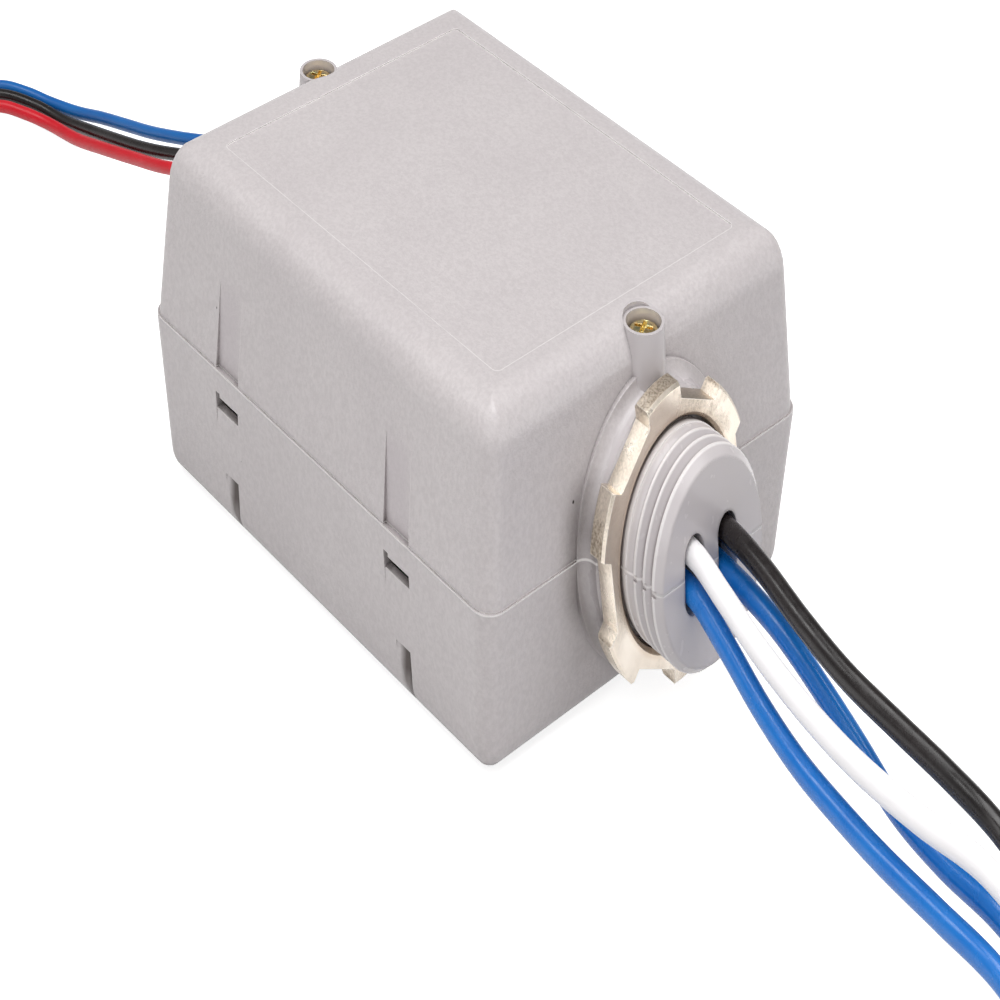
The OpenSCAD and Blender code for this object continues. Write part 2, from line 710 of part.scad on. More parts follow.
module lower_shell() {
    screw_tip = seat_z - screw_l;
    color([0.8, 0.78, 0.77]) difference() {
        union() {
            difference() {
                union() {
                    lower_form(0, corner_r, lower_edge_r);
                    intersection() {
                        nipple_form();
                        slice(0, parting_z);
                    }
                    translate([-screw_x, 0, screw_tip - 3])
                        cylinder(r1 = boss_r - 0.4, r2 = boss_r + boss_taper, h = parting_z - screw_tip + 3);
                    translate([-screw_x, 0, screw_tip - 3]) mirror([0, 0, 1]) half_ball(boss_r - 0.4);
                }
                intersection() {
                    lower_form(wall, max(corner_r - wall, 0.6), 0.8);
                    slice(wall, parting_z + 1);
                }
                nipple_hollow();
            }
            intersection() {
                union() {
                    web();
                    translate([screw_x, 0, parting_z - passage_r - 1])
                        cylinder(r = pillar_r, h = passage_r + 1);
                }
                slice(0, parting_z);
            }
            translate([-screw_x, 0, screw_tip - 3])
                cylinder(r = boss_r - 0.4, h = parting_z - screw_tip + 3);
            for (x = [-post_x, post_x], y = [-post_y, post_y]) translate([x, y, 0]) {
                translate([0, 0, wall / 2]) cylinder(r = post_r, h = board_z - wall / 2);
                translate([0, 0, wall / 2]) cylinder(r = post_pin_r, h = board_top + 0.8 - wall / 2);
            }
            intersection() {
                locating_ribs(0);
                slice(parting_z - rib_h, parting_z + rib_h);
            }
        }
        lead_slots();
        rear_slot();
        crest_reliefs();
        for (x = [-screw_x, screw_x]) translate([x, 0, screw_tip - 1])
            cylinder(r = screw_r, h = parting_z - screw_tip + 1 + past);
        at_latches() latch_window();
        for (x = [-latch_x, latch_x]) translate([x, 0, 0]) pry_notch();
    }
}

// Disc with both of its rims chamfered
module chamfered_disc(r, h, c) {
    cylinder(r1 = r - c, r2 = r, h = c);
    translate([0, 0, c]) cylinder(r = r, h = h - 2 * c);
    translate([0, 0, h - c]) cylinder(r1 = r, r2 = r - c, h = c);
}

module locknut() {
    color([0.72, 0.7, 0.66]) translate([collar_x, 0, parting_z]) rotate([90, 0, 90])
        difference() {
            intersection() {
                chamfered_disc(nut_lug_r, nut_t, nut_chamfer);
                union() {
                    translate([0, 0, -past]) linear_extrude(nut_t + 2 * past) polygon([
                        for (i = [0:nut_lugs - 1]) let (a = nut_turn + i * 360 / nut_lugs)
                            nut_flat_r / cos(180 / nut_lugs) * [cos(a), sin(a)]
                    ]);
                    for (i = [0:nut_lugs - 1]) rotate(nut_turn + i * 360 / nut_lugs)
                        translate([nut_flat_r / 2, -nut_lug_w / 2, -past])
                            cube([nut_lug_r, nut_lug_w, nut_t + 2 * past]);
                }
            }
            translate([0, 0, -past]) cylinder(r = nut_bore_r, h = nut_t + 2 * past);
            translate([0, 0, nut_t - bore_chamfer])
                cylinder(r1 = nut_bore_r, r2 = nut_bore_r + 2 * bore_chamfer, h = 2 * bore_chamfer);
        }
}

// Pan-head screw that stands in its seat, with a cross recess
module screw() {
    color([0.85, 0.68, 0.36]) difference() {
        union() {
            translate([0, 0, seat_z - screw_l]) cylinder(r = screw_r, h = screw_l);
            translate([0, 0, seat_z]) rotate_extrude() polygon([
                [0, 0], [screw_head_r, 0], [screw_head_r, screw_head_h * 0.45],
                [screw_head_r * 0.86, screw_head_h * 0.8], [screw_head_r * 0.55, screw_head_h],
                [0, screw_head_h]
            ]);
        }
        for (turn = [30, 120]) translate([0, 0, seat_z + screw_head_h]) rotate(turn)
            cube([screw_head_r * 1.15, 0.65, screw_head_h], center = true);
    }
}

module front_screw() translate([screw_x, 0, 0]) screw();

module rear_screw() translate([-screw_x, 0, 0]) screw();

module circuit_board() {
    color([0.1, 0.42, 0.24]) difference() {
        translate([-board_l / 2, -board_w / 2, board_z]) cube([board_l, board_w, board_t]);
        for (x = [-post_x, post_x], y = [-post_y, post_y]) translate([x, y, board_z - past])
            cylinder(r = post_pin_r + pin_clearance, h = board_t + 2 * past);
        translate([board_l / 2 - 2, -collar_r - 2, board_z - past])
            cube([3, 2 * (collar_r + 2), board_t + 2 * past]);
    }
}

// Bare outline of the core, across the housing and up
module core_outline(w, h) {
    translate([-w / 2, core_h / 2 - h / 2]) square([w, h]);
}

module transformer_core() {
    window_w = (core_w - core_leg) / 2 - core_yoke;
    color([0.36, 0.36, 0.38]) translate([0, 0, board_top + core_lift]) along_x(core_x, core_t)
        difference() {
            core_outline(core_w, core_h);
            for (y = [-1, 1]) translate([y * (core_leg + window_w) / 2 - window_w / 2, core_yoke])
                square([window_w, core_h - 2 * core_yoke]);
        }
}

// Square ring round the core's middle leg, between two depths of winding
module coil_ring(inner, outer, low, high) {
    translate([core_x, 0, board_top + core_lift + low]) difference() {
        translate([-core_t / 2 - outer, -core_leg / 2 - outer, 0])
            cube([core_t + 2 * outer, core_leg + 2 * outer, high - low]);
        translate([-core_t / 2 - inner, -core_leg / 2 - inner, -past])
            cube([core_t + 2 * inner, core_leg + 2 * inner, high - low + 2 * past]);
    }
}

coil_low = core_yoke + bobbin_wall;
coil_high = core_h - core_yoke - bobbin_wall;
coil_room = (core_w - core_leg) / 2 - core_yoke;
coil_t = min(winding_t, coil_room - bobbin_wall - 0.3);

module transformer_bobbin() {
    flange = coil_t + bobbin_wall;
    color([0.2, 0.2, 0.22]) {
        coil_ring(0, bobbin_wall, coil_low, coil_high);
        coil_ring(0, flange, core_yoke, coil_low);
        coil_ring(0, flange, coil_high, coil_high + bobbin_wall);
        for (x = [-1, 1], y = [-1, 0, 1])
            translate([core_x + x * (core_t / 2 + flange - 1), y * core_leg * 0.42, board_top])
                cylinder(r = leg_r, h = core_lift + core_yoke + bobbin_wall / 2);
    }
}

module primary_winding() {
    color([0.72, 0.42, 0.2]) coil_ring(bobbin_wall, bobbin_wall + coil_t / 2, coil_low, coil_high);
}

module secondary_winding() {
    color([0.85, 0.75, 0.3])
        coil_ring(bobbin_wall + coil_t / 2, bobbin_wall + coil_t, coil_low, coil_high);
}

module relay() {
    color([0.12, 0.14, 0.18]) difference() {
        translate([relay_x, -relay_w / 2, board_top]) cube([relay_l, relay_w, relay_h]);
        translate([relay_x + relay_l - 1.5, -relay_w / 2 - past, board_top + relay_h - 1])
            cube([1.5 + past, relay_w + 2 * past, 1 + past]);
    }
}

module tab_sleeves() {
    color([0.75, 0.2, 0.18]) for (y = [-tab_y, tab_y])
        translate([relay_front, y - sleeve_w / 2, tab_z - sleeve_h / 2])
            cube([min(sleeve_l, load_left_route[0][0] - relay_front), sleeve_w, sleeve_h]);
}

module varistor() {
    color([0.2, 0.35, 0.7]) translate([relay_front - 18, -relay_w / 2 - side_gap - varistor_t / 2, board_top]) {
        translate([0, 0, leg_h + varistor_r]) rotate([90, 0, 0])
            cylinder(r = varistor_r, h = varistor_t, center = true);
        for (x = [-1, 1]) translate([x * 3.75, 0, 0]) cylinder(r = leg_r, h = leg_h + varistor_r / 2);
    }
}

// Upright capacitor can with a rounded shoulder and a rolled groove
module can(r, h) {
    rotate_extrude() polygon([
        [0, 0], [r - 0.3, 0], [r, 0.4], [r, 1.6], [r - 0.3, 2], [r, 2.4],
        [r, h - 0.6], [r - 0.6, h], [0, h]
    ]);
}

module filter_capacitor() {
    color([0.12, 0.16, 0.3])
        translate([relay_front - 6, -board_w / 2 + filter_cap_r + edge_gap, board_top])
            can(filter_cap_r, filter_cap_h);
}

module output_capacitor() {
    color([0.12, 0.16, 0.3])
        translate([relay_x + 0.5, -board_w / 2 + output_cap_r + edge_gap, board_top])
            can(output_cap_r, output_cap_h);
}

// Axial component lying on the board along Y, with both legs bent down
module axial(l, r, reach) {
    translate([0, 0, r]) rotate([90, 0, 0]) cylinder(r = r, h = l, center = true);
    translate([0, 0, r]) rotate([90, 0, 0]) cylinder(r = leg_r, h = l + 2 * reach, center = true);
    for (y = [-1, 1]) translate([0, y * (l / 2 + reach), 0]) cylinder(r = leg_r, h = r + leg_r);
}

module rectifier_diodes() {
    color([0.1, 0.1, 0.11]) for (i = [0:3])
        translate([relay_front - 15 + i * axial_pitch, board_w / 2 - 2 * edge_gap - diode_l / 2, board_top])
            axial(diode_l, diode_r, axial_reach);
}

module voltage_regulator() {
    color([0.16, 0.16, 0.18]) translate([relay_front - 27, board_w / 2 - 2 * edge_gap - 0.6, board_top]) {
        translate([-regulator_w / 2, -regulator_t / 2, leg_h]) cube([regulator_w, regulator_t, 9]);
        difference() {
            translate([-regulator_w / 2, regulator_t / 2 - 1.3, leg_h + 9]) cube([regulator_w, 1.3, 6.4]);
            translate([0, 0, leg_h + 12.4]) rotate([-90, 0, 0]) cylinder(r = 1.8, h = 4);
        }
        for (x = [-2.54, 0, 2.54]) translate([x, 0, 0]) cylinder(r = leg_r, h = leg_h + 1);
    }
}

module driver_transistor() {
    color([0.1, 0.1, 0.11]) translate([relay_front + 3, board_w / 2 - 2 * edge_gap - transistor_r, board_top]) {
        translate([0, 0, leg_h]) difference() {
            cylinder(r = transistor_r, h = 4.6);
            translate([-3, 1.3, -past]) cube([6, 3, 4.6 + 2 * past]);
        }
        for (x = [-1.27, 0, 1.27]) translate([x, 0, 0]) cylinder(r = leg_r, h = leg_h + 1);
    }
}

module flyback_diode() {
    color([0.1, 0.1, 0.11]) translate([relay_front - 21, relay_w / 2 + side_gap + 1, board_top])
        axial(flyback_l, 0.95, axial_reach - 0.3);
}

module resistors() {
    room = board_w / 2 - core_w / 2 - 2 * board_gap;
    l = min(resistor_l, room - 2 * (axial_reach + leg_r));
    color([0.78, 0.68, 0.5]) for (i = [0:2])
        translate([core_x + (i - 0.2) * axial_pitch, -core_w / 2 - board_gap - room / 2, board_top])
            axial(l, 1.2, axial_reach);
}

module mains_black_lead() color([0.08, 0.08, 0.09]) lead_tube(mains_black_route, mains_d);

module mains_white_lead() color([0.9, 0.9, 0.88]) lead_tube(mains_white_route, mains_d);

module load_blue_lead_left() color([0.12, 0.2, 0.55]) lead_tube(load_left_route, mains_d);

module load_blue_lead_right() color([0.12, 0.2, 0.55]) lead_tube(load_right_route, mains_d);

module sensor_blue_lead() color([0.15, 0.3, 0.65]) lead_tube(sensor_blue_route, sensor_d);

module sensor_black_lead() color([0.08, 0.08, 0.09]) lead_tube(sensor_black_route, sensor_d);

module sensor_red_lead() color([0.75, 0.12, 0.1]) lead_tube(sensor_red_route, sensor_d);

// Bare copper strands on the free end of a lead
module strands(route, d) {
    color([0.8, 0.5, 0.32]) lead_tube(strands_route(route, 10), d);
}

upper_shell();
lower_shell();
locknut();
front_screw();
rear_screw();
circuit_board();
transformer_core();
transformer_bobbin();
primary_winding();
secondary_winding();
relay();
tab_sleeves();
varistor();
filter_capacitor();
output_capacitor();
rectifier_diodes();
voltage_regulator();
driver_transistor();
flyback_diode();
resistors();
mains_black_lead();
mains_white_lead();
load_blue_lead_left();
load_blue_lead_right();
sensor_blue_lead();
sensor_black_lead();
sensor_red_lead();
strands(mains_black_route, mains_strand_d);  // mains_black_strands
strands(mains_white_route, mains_strand_d);  // mains_white_strands
strands(load_left_route, mains_strand_d);  // load_left_strands
strands(load_right_route, mains_strand_d);  // load_right_strands
strands(sensor_blue_route, sensor_strand_d);  // sensor_blue_strands
strands(sensor_black_route, sensor_strand_d);  // sensor_black_strands
strands(sensor_red_route, sensor_strand_d);  // sensor_red_strands
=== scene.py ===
"""Occupancy sensor power pack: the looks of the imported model, in metres, with +Z up."""
import math

import bpy
from mathutils import Matrix, Vector


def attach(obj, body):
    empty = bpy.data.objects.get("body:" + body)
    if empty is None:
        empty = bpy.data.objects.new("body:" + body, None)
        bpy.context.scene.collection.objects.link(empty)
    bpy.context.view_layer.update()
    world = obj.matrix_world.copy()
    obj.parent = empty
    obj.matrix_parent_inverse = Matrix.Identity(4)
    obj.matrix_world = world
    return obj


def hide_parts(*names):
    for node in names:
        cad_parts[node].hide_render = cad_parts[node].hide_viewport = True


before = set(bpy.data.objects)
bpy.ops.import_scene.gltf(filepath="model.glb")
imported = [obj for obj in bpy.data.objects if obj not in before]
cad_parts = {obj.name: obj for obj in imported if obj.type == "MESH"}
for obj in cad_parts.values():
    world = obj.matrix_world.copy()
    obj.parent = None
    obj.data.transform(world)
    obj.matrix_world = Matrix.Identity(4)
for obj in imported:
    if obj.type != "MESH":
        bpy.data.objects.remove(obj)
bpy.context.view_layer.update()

# Sizes of the part, as in its source
MM = 0.001
PARTING_Z = 17 * MM
TOP_Z = 36.4 * MM
BODY_END_X = 40.25 * MM
WALL_Y = 24 * MM  # nothing but the long walls and their edges lies farther out
COLLAR_X = 42.6 * MM
NIPPLE_END_X = 52.5 * MM
THREAD_R = 10.67 * MM
LUG_R = 14.2 * MM
SCREW_X = 38.75 * MM
LABEL_L = 65.6 * MM
LABEL_W = 48.4 * MM
LABEL_R = 1.0 * MM
LABEL_SHIFT = 0.9 * MM
LATCH_X = 20.2 * MM
LATCH_W = 5.6 * MM
RECESS_TOP_Z = 26.5 * MM
NOTCH_SHIFT = 0.4 * MM
NOTCH_W = 3.1 * MM
NOTCH_TOP_Z = 5.85 * MM


# Camera

# The photograph is squeezed sideways: a round nut, nipple and boss only come out as they
# do there if the picture's width is 0.627 of the true width. The part is true to size, so
# the camera's picture plane leans instead: its right and up aren't square to its back.
CAMERA_PLACE = Vector((435.471, -381.034, 311.585)) * MM
CAMERA_RIGHT = Vector((0.661096, 0.750216, 0.011276))
CAMERA_UP = Vector((0.293598, -0.272493, 0.916268))
CAMERA_BACK = Vector((0.658336, -0.586129, 0.472277))
CAMERA_LENS = 156.43
CAMERA_SENSOR = 36
CAMERA_CLIP = (0.01, 20)


def link(obj):
    """Puts a new object into the scene."""
    bpy.context.scene.collection.objects.link(obj)
    return obj


def add_camera():
    data = bpy.data.cameras.new("camera")
    data.sensor_width = CAMERA_SENSOR
    data.lens = CAMERA_LENS
    data.clip_start, data.clip_end = CAMERA_CLIP
    camera = bpy.data.objects.new("camera", data)
    holder = link(bpy.data.objects.new("camera_holder", None))
    link(camera)
    camera.parent = holder
    lean = Matrix.Identity(4)
    for column, axis in enumerate((CAMERA_RIGHT, CAMERA_UP, CAMERA_BACK, CAMERA_PLACE)):
        for row in range(3):
            lean[row][column] = axis[row]
    camera.matrix_parent_inverse = lean
    bpy.context.scene.camera = camera


add_camera()


# Helpers for materials

EDGE_SAMPLES = 4


def material(name, color, roughness, **sockets):
    """A Principled material; sockets are named with _ for each space."""
    made = bpy.data.materials.new(name)
    made.use_nodes = True
    shader = made.node_tree.nodes["Principled BSDF"]
    shader.inputs["Base Color"].default_value = (*color, 1)
    shader.inputs["Roughness"].default_value = roughness
    for key, value in sockets.items():
        shader.inputs[key.replace("_", " ")].default_value = value
    return made


def node(made, kind, inputs=None, **settings):
    """Adds one node. inputs holds each socket's value, or the socket that feeds it."""
    new = made.node_tree.nodes.new("ShaderNode" + kind)
    for key, value in settings.items():
        setattr(new, key, value)
    for key, value in (inputs or {}).items():
        if isinstance(value, bpy.types.NodeSocket):
            made.node_tree.links.new(value, new.inputs[key])
        else:
            new.inputs[key].default_value = value
    return new


def feed(made, socket, value):
    """Joins a value to a socket of the material's shader."""
    made.node_tree.links.new(value, made.node_tree.nodes["Principled BSDF"].inputs[socket])


def math_node(made, operation, *values, clamp=False):
    return node(made, "Math", dict(enumerate(values)), operation=operation,
                use_clamp=clamp).outputs[0]


def vector_math(made, operation, *vectors):
    return node(made, "VectorMath", dict(enumerate(vectors)), operation=operation).outputs[0]


def minus(made, a, b):
    return math_node(made, "SUBTRACT", a, b)


def times(made, first, *others):
    for other in others:
        first = math_node(made, "MULTIPLY", first, other)
    return first


def largest(made, first, *others):
    for other in others:
        first = math_node(made, "MAXIMUM", first, other)
    return first


def above(made, value, limit):
    return math_node(made, "GREATER_THAN", value, limit)


def below(made, value, limit):
    return math_node(made, "LESS_THAN", value, limit)


def without_sign(made, value):
    return math_node(made, "ABSOLUTE", value)


def length(made, a, b):
    """Length of the vector with these two parts."""
    squares = math_node(made, "ADD", times(made, a, a), times(made, b, b))
    return math_node(made, "SQRT", squares)


def distance(made, a, b):
    return node(made, "VectorMath", {0: a, 1: b}, operation="DISTANCE").outputs["Value"]


def place(made):
    """Where the shaded point is, in metres in the row's frame."""
    return node(made, "TexCoord").outputs["Object"]


def split(made, vector):
    """The three parts of a vector."""
    return list(node(made, "SeparateXYZ", {0: vector}).outputs)


def facing(made):
    """The three parts of the direction that the surface itself faces."""
    return split(made, node(made, "NewGeometry").outputs["True Normal"])


def from_axis(made, y, z):
    """Distance from the nipple's axis."""
    return length(made, y, minus(made, z, PARTING_Z))


def noise(made, scale, detail=2.0, rough=0.5, vector=None, output="Fac"):
    return node(made, "TexNoise", {"Vector": vector or place(made), "Scale": scale,
                                   "Detail": detail, "Roughness": rough}).outputs[output]


def ramp(made, value, low, high, to_low=0.0, to_high=1.0):
    """Carries a value from one range to another, without going past the ends."""
    return node(made, "MapRange", {"Value": value, "From Min": low, "From Max": high,
                                   "To Min": to_low, "To Max": to_high}).outputs[0]


def mix(made, factor, a, b):
    """The colour a turned into b by that factor."""
    new = made.node_tree.nodes.new("ShaderNodeMix")
    new.data_type = "RGBA"
    for socket, value in ((new.inputs[0], factor), (new.inputs[6], a), (new.inputs[7], b)):
        if isinstance(value, bpy.types.NodeSocket):
            made.node_tree.links.new(value, socket)
        else:
            socket.default_value = (*value, 1)
    return new.outputs[2]


def bump(made, height, strength, depth, normal=None):
    inputs = {"Height": height, "Strength": strength, "Distance": depth}
    if normal is not None:
        inputs["Normal"] = normal
    return node(made, "Bump", inputs).outputs[0]


def rounded(made, radius):
    """The normal of edges that are rounded by that radius."""
    return node(made, "Bevel", {"Radius": radius}, samples=EDGE_SAMPLES).outputs[0]


def open_space(made, reach):
    """1 where no other surface closes in on the shaded point within that reach."""
    return node(made, "AmbientOcclusion", {"Distance": reach}, samples=EDGE_SAMPLES).outputs["AO"]


def worn_and_sheen_edges(made, reach):
    """1 along outward edges, where the corner is polished and where a painted edge highlight goes.
    """
    seen = node(made, "AmbientOcclusion", {"Distance": reach}, samples=EDGE_SAMPLES, inside=True,
                only_local=True)
    return ramp(made, seen.outputs["AO"], 0.85, 0.5)


def specks(made, per_metre, radius, share):
    """Small dots in that share of the cells of a random lattice."""
    cells = node(made, "TexVoronoi", {"Vector": place(made), "Scale": per_metre})
    dot = ramp(made, cells.outputs["Distance"], radius * per_metre, radius * per_metre * 0.6)
    chance = node(made, "SeparateColor", {"Color": cells.outputs["Color"]}).outputs[0]
    return times(made, dot, below(made, chance, share))


# Housing plastic

PLASTIC_TONES = (0.55, 0.51, 0.514), (0.575, 0.535, 0.537)
GRAIN_TONE = (0.4, 0.365, 0.37)
SCRATCH_TONE = (0.72, 0.69, 0.69)
DIRT_TONE = (0.06, 0.045, 0.04)
SPECK_TONE = (0.02, 0.015, 0.015)
# outward edges: worn polish, partly a painted edge highlight
WORN_SHEEN_TONE = (0.85, 0.81, 0.8)
# painted shade in the recesses above the latches
RECESS_SHADE_TONE = (0.46, 0.41, 0.43)
POLISHED_TONE = (0.3, 0.28, 0.32)
SHADE_TONE = (0.05, 0.034, 0.028)
# painted highlight along the edges that catch the light
HIGHLIGHT_LINE_TONE = (0.86, 0.83, 0.82)

# How strongly each mask turns the plastic into its tone
GRAIN_SHARE = 0.34
SCRATCH_SHARE = 0.1
DIRT_SHARE = 0.8
WORN_SHEEN_SHARE = 0.45
WORN_SHEEN_POLISHED_SHARE = 0.15
RECESS_SHADE_SHARE = 0.45
POLISHED_SHARE = 0.1
CREVICE_SHARE = 0.92
NOTCH_SHARE = 0.93
COLLAR_SHARE = 0.75
PARTING_SHARE = 0.62
CREST_SHARE = 0.6
LABEL_SHARES = 0.42, 0.66

# Cells per metre of each pattern on the plastic
CLOUDS = 60
COLOR_GRAIN = 1700
GLOSS_PATCHES = 500
RELIEF_GRAIN = 3000
RELIEF_WAVES = 260
SCRATCH_LATTICE = 75.0
SCRATCH_BENDS = 120
SCRATCH_PLACES = 45
LINE_BREAKS = 350
# Dots of dirt: cells per metre, radius and the share of the cells that have one
COARSE_DIRT = 170, 0.08 * MM, 0.3
FINE_DIRT = 420, 0.04 * MM, 0.25

CREVICE_REACH = 1.8 * MM
POLISHED_CREVICE_REACH = 0.7 * MM
COLLAR_REACH = 7 * MM
WORN_SHEEN_REACH = 0.2 * MM
EDGE_RADIUS = 0.1 * MM
NIPPLE_EDGE_RADIUS = 0.6 * MM
RELIEF_DEPTH = 0.045 * MM

# Each band runs from where the mask is 0 to where it is 1
NIPPLE_BAND = BODY_END_X + 0.2 * MM, BODY_END_X + 1.2 * MM
BOSS_BAND = 3.9 * MM, 3.3 * MM
PARTING_BAND = 0.17 * MM, 0.08 * MM
LABEL_BAND = 0.13 * MM, 0.05 * MM
CREST_BAND = THREAD_R - 0.16 * MM, THREAD_R - 0.05 * MM
NOTCH_BAND = -0.32 * NOTCH_W, 0.02 * NOTCH_W
NOTCH_HEIGHT_BAND = 0.6 * MM, 3.6 * MM
RECESS_BAND = 0.55 * LATCH_W, 0.2 * LATCH_W
RECESS_HEIGHT_BAND = RECESS_TOP_Z + 1.5 * MM, RECESS_TOP_Z - 2 * MM
COLLAR_OUTER_BAND = 19 * MM, 15.5 * MM
COLLAR_INNER_BAND = 10.9 * MM, 11.4 * MM
COLLAR_FRONT_BAND = BODY_END_X - 1.4 * MM, BODY_END_X - 0.6 * MM
COLLAR_TOP_BAND = 26 * MM, 19 * MM
COLLAR_FOOT_BAND = 4 * MM, 12 * MM
NIPPLE_EDGE_BAND = NIPPLE_END_X - 1 * MM, NIPPLE_END_X - 0.6 * MM
LABEL_FLOOR_Z = TOP_Z - 0.6 * MM
THREAD_START_X = COLLAR_X + 2.6 * MM
UPRIGHT_LIMIT = 0.7

# Black specks that stand out in the photograph: x, y, z and radius in millimetres
SPECKS = (
    (39.9, -15, 22.8, 0.22), (39.8, 22, 7.7, 0.15), (-23.6, -30.8, 23.2, 0.14),
    (39.8, -29.1, 26, 0.12),
)


def polished_places(made):
    """1 on the nipple, the collar and the bosses, which were polished in the mould."""
    x, y, z = split(made, place(made))
    nipple = ramp(made, x, *NIPPLE_BAND)
    flat = node(made, "CombineXYZ", {0: without_sign(made, x), 1: y}).outputs[0]
    boss = ramp(made, distance(made, flat, (SCREW_X, 0, 0)), *BOSS_BAND)
    return largest(made, nipple, boss)


def from_label_edge(made, at):
    """Distance from the rounded outline of the label recess, seen from above."""
    off = vector_math(made, "ABSOLUTE", vector_math(made, "SUBTRACT", at, (LABEL_SHIFT, 0, 0)))
    corner = (LABEL_L / 2 - LABEL_R, LABEL_W / 2 - LABEL_R, 0)
    x, y, z = split(made, vector_math(made, "SUBTRACT", off, corner))
    outside = length(made, largest(made, x, 0.0), largest(made, y, 0.0))
    inside = math_node(made, "MINIMUM", largest(made, x, y), 0.0)
    return without_sign(made, minus(made, math_node(made, "ADD", outside, inside), LABEL_R))


def highlight_lines(made):
    """1 along the parting line, the label recess's edge and the thread's crests: painted
    highlights where these edges catch the light."""
    at = place(made)
    x, y, z = split(made, at)
    upright = below(made, without_sign(made, facing(made)[2]), UPRIGHT_LIMIT)
    from_parting = without_sign(made, minus(made, z, PARTING_Z))
    parting = times(made, ramp(made, from_parting, *PARTING_BAND), upright)
    on_top = above(made, z, LABEL_FLOOR_Z)
    label = times(made, ramp(made, from_label_edge(made, at), *LABEL_BAND), on_top)
    uneven = ramp(made, noise(made, LINE_BREAKS, 2), 0.3, 0.5, *LABEL_SHARES)
    crest = times(made, ramp(made, from_axis(made, y, z), *CREST_BAND),
                  above(made, x, THREAD_START_X))
    return largest(made, times(made, parting, PARTING_SHARE), times(made, label, uneven),
                   times(made, crest, CREST_SHARE))


def at_latches(made, x, y, shift, pattern):
    """The pattern across each latch, on the long walls only."""
    offsets = [minus(made, x, middle + shift) for middle in (-LATCH_X, LATCH_X)]
    found = largest(made, *[pattern(off) for off in offsets])
    return times(made, found, above(made, without_sign(made, y), WALL_Y))


def notch_shade(made, x, y, z):
    """1 at the deep end of the pry notches, fading towards their shallow end and foot."""
    def across(off):
        return times(made, ramp(made, off, *NOTCH_BAND), below(made, off, NOTCH_W / 2))

    height = times(made, ramp(made, z, *NOTCH_HEIGHT_BAND, 0.3, 1), below(made, z, NOTCH_TOP_Z))
    return times(made, at_latches(made, x, y, NOTCH_SHIFT, across), height)


def recess_shade(made, x, y, z):
    """Painted shade: 1 in the tapering recesses above the latches, soft on one side as the recess
    itself is.
    """
    def across(off):
        return times(made, above(made, off, -LATCH_W / 2), ramp(made, off, *RECESS_BAND))

    height = times(made, ramp(made, z, *RECESS_HEIGHT_BAND), above(made, z, PARTING_Z))
    return times(made, at_latches(made, x, y, 0, across), height)


def collar_shade(made, x, y, z):
    """1 round the lower half of the collar, where the locknut keeps the light off."""
    away = from_axis(made, y, z)
    ring = times(made, ramp(made, away, *COLLAR_OUTER_BAND), ramp(made, away, *COLLAR_INNER_BAND))
    front = ramp(made, x, *COLLAR_FRONT_BAND)
    low = times(made, ramp(made, z, *COLLAR_TOP_BAND), ramp(made, z, *COLLAR_FOOT_BAND, 0.05, 1))
    closed_in = ramp(made, open_space(made, COLLAR_REACH), 0.95, 0.6)
    return times(made, times(made, ring, front, low), closed_in)


def placed_specks(made):
    at = place(made)
    return largest(made, *[
        ramp(made, distance(made, at, (x * MM, y * MM, z * MM)), radius * MM, radius * MM * 0.7)
        for x, y, z, radius in SPECKS])


def scratches(made):
    """Thin lines along a bent lattice, in a few places."""
    bends = noise(made, SCRATCH_BENDS, 2, output="Color")
    push = node(made, "VectorMath", {0: bends, "Scale": 0.012}, operation="SCALE").outputs[0]
    bent = vector_math(made, "ADD", place(made), push)
    to_line = node(made, "TexVoronoi", {"Vector": bent, "Scale": SCRATCH_LATTICE},
                   feature="DISTANCE_TO_EDGE").outputs[0]
    return times(made, ramp(made, to_line, 0.005, 0.002),
                 ramp(made, noise(made, SCRATCH_PLACES, 1), 0.62, 0.68))


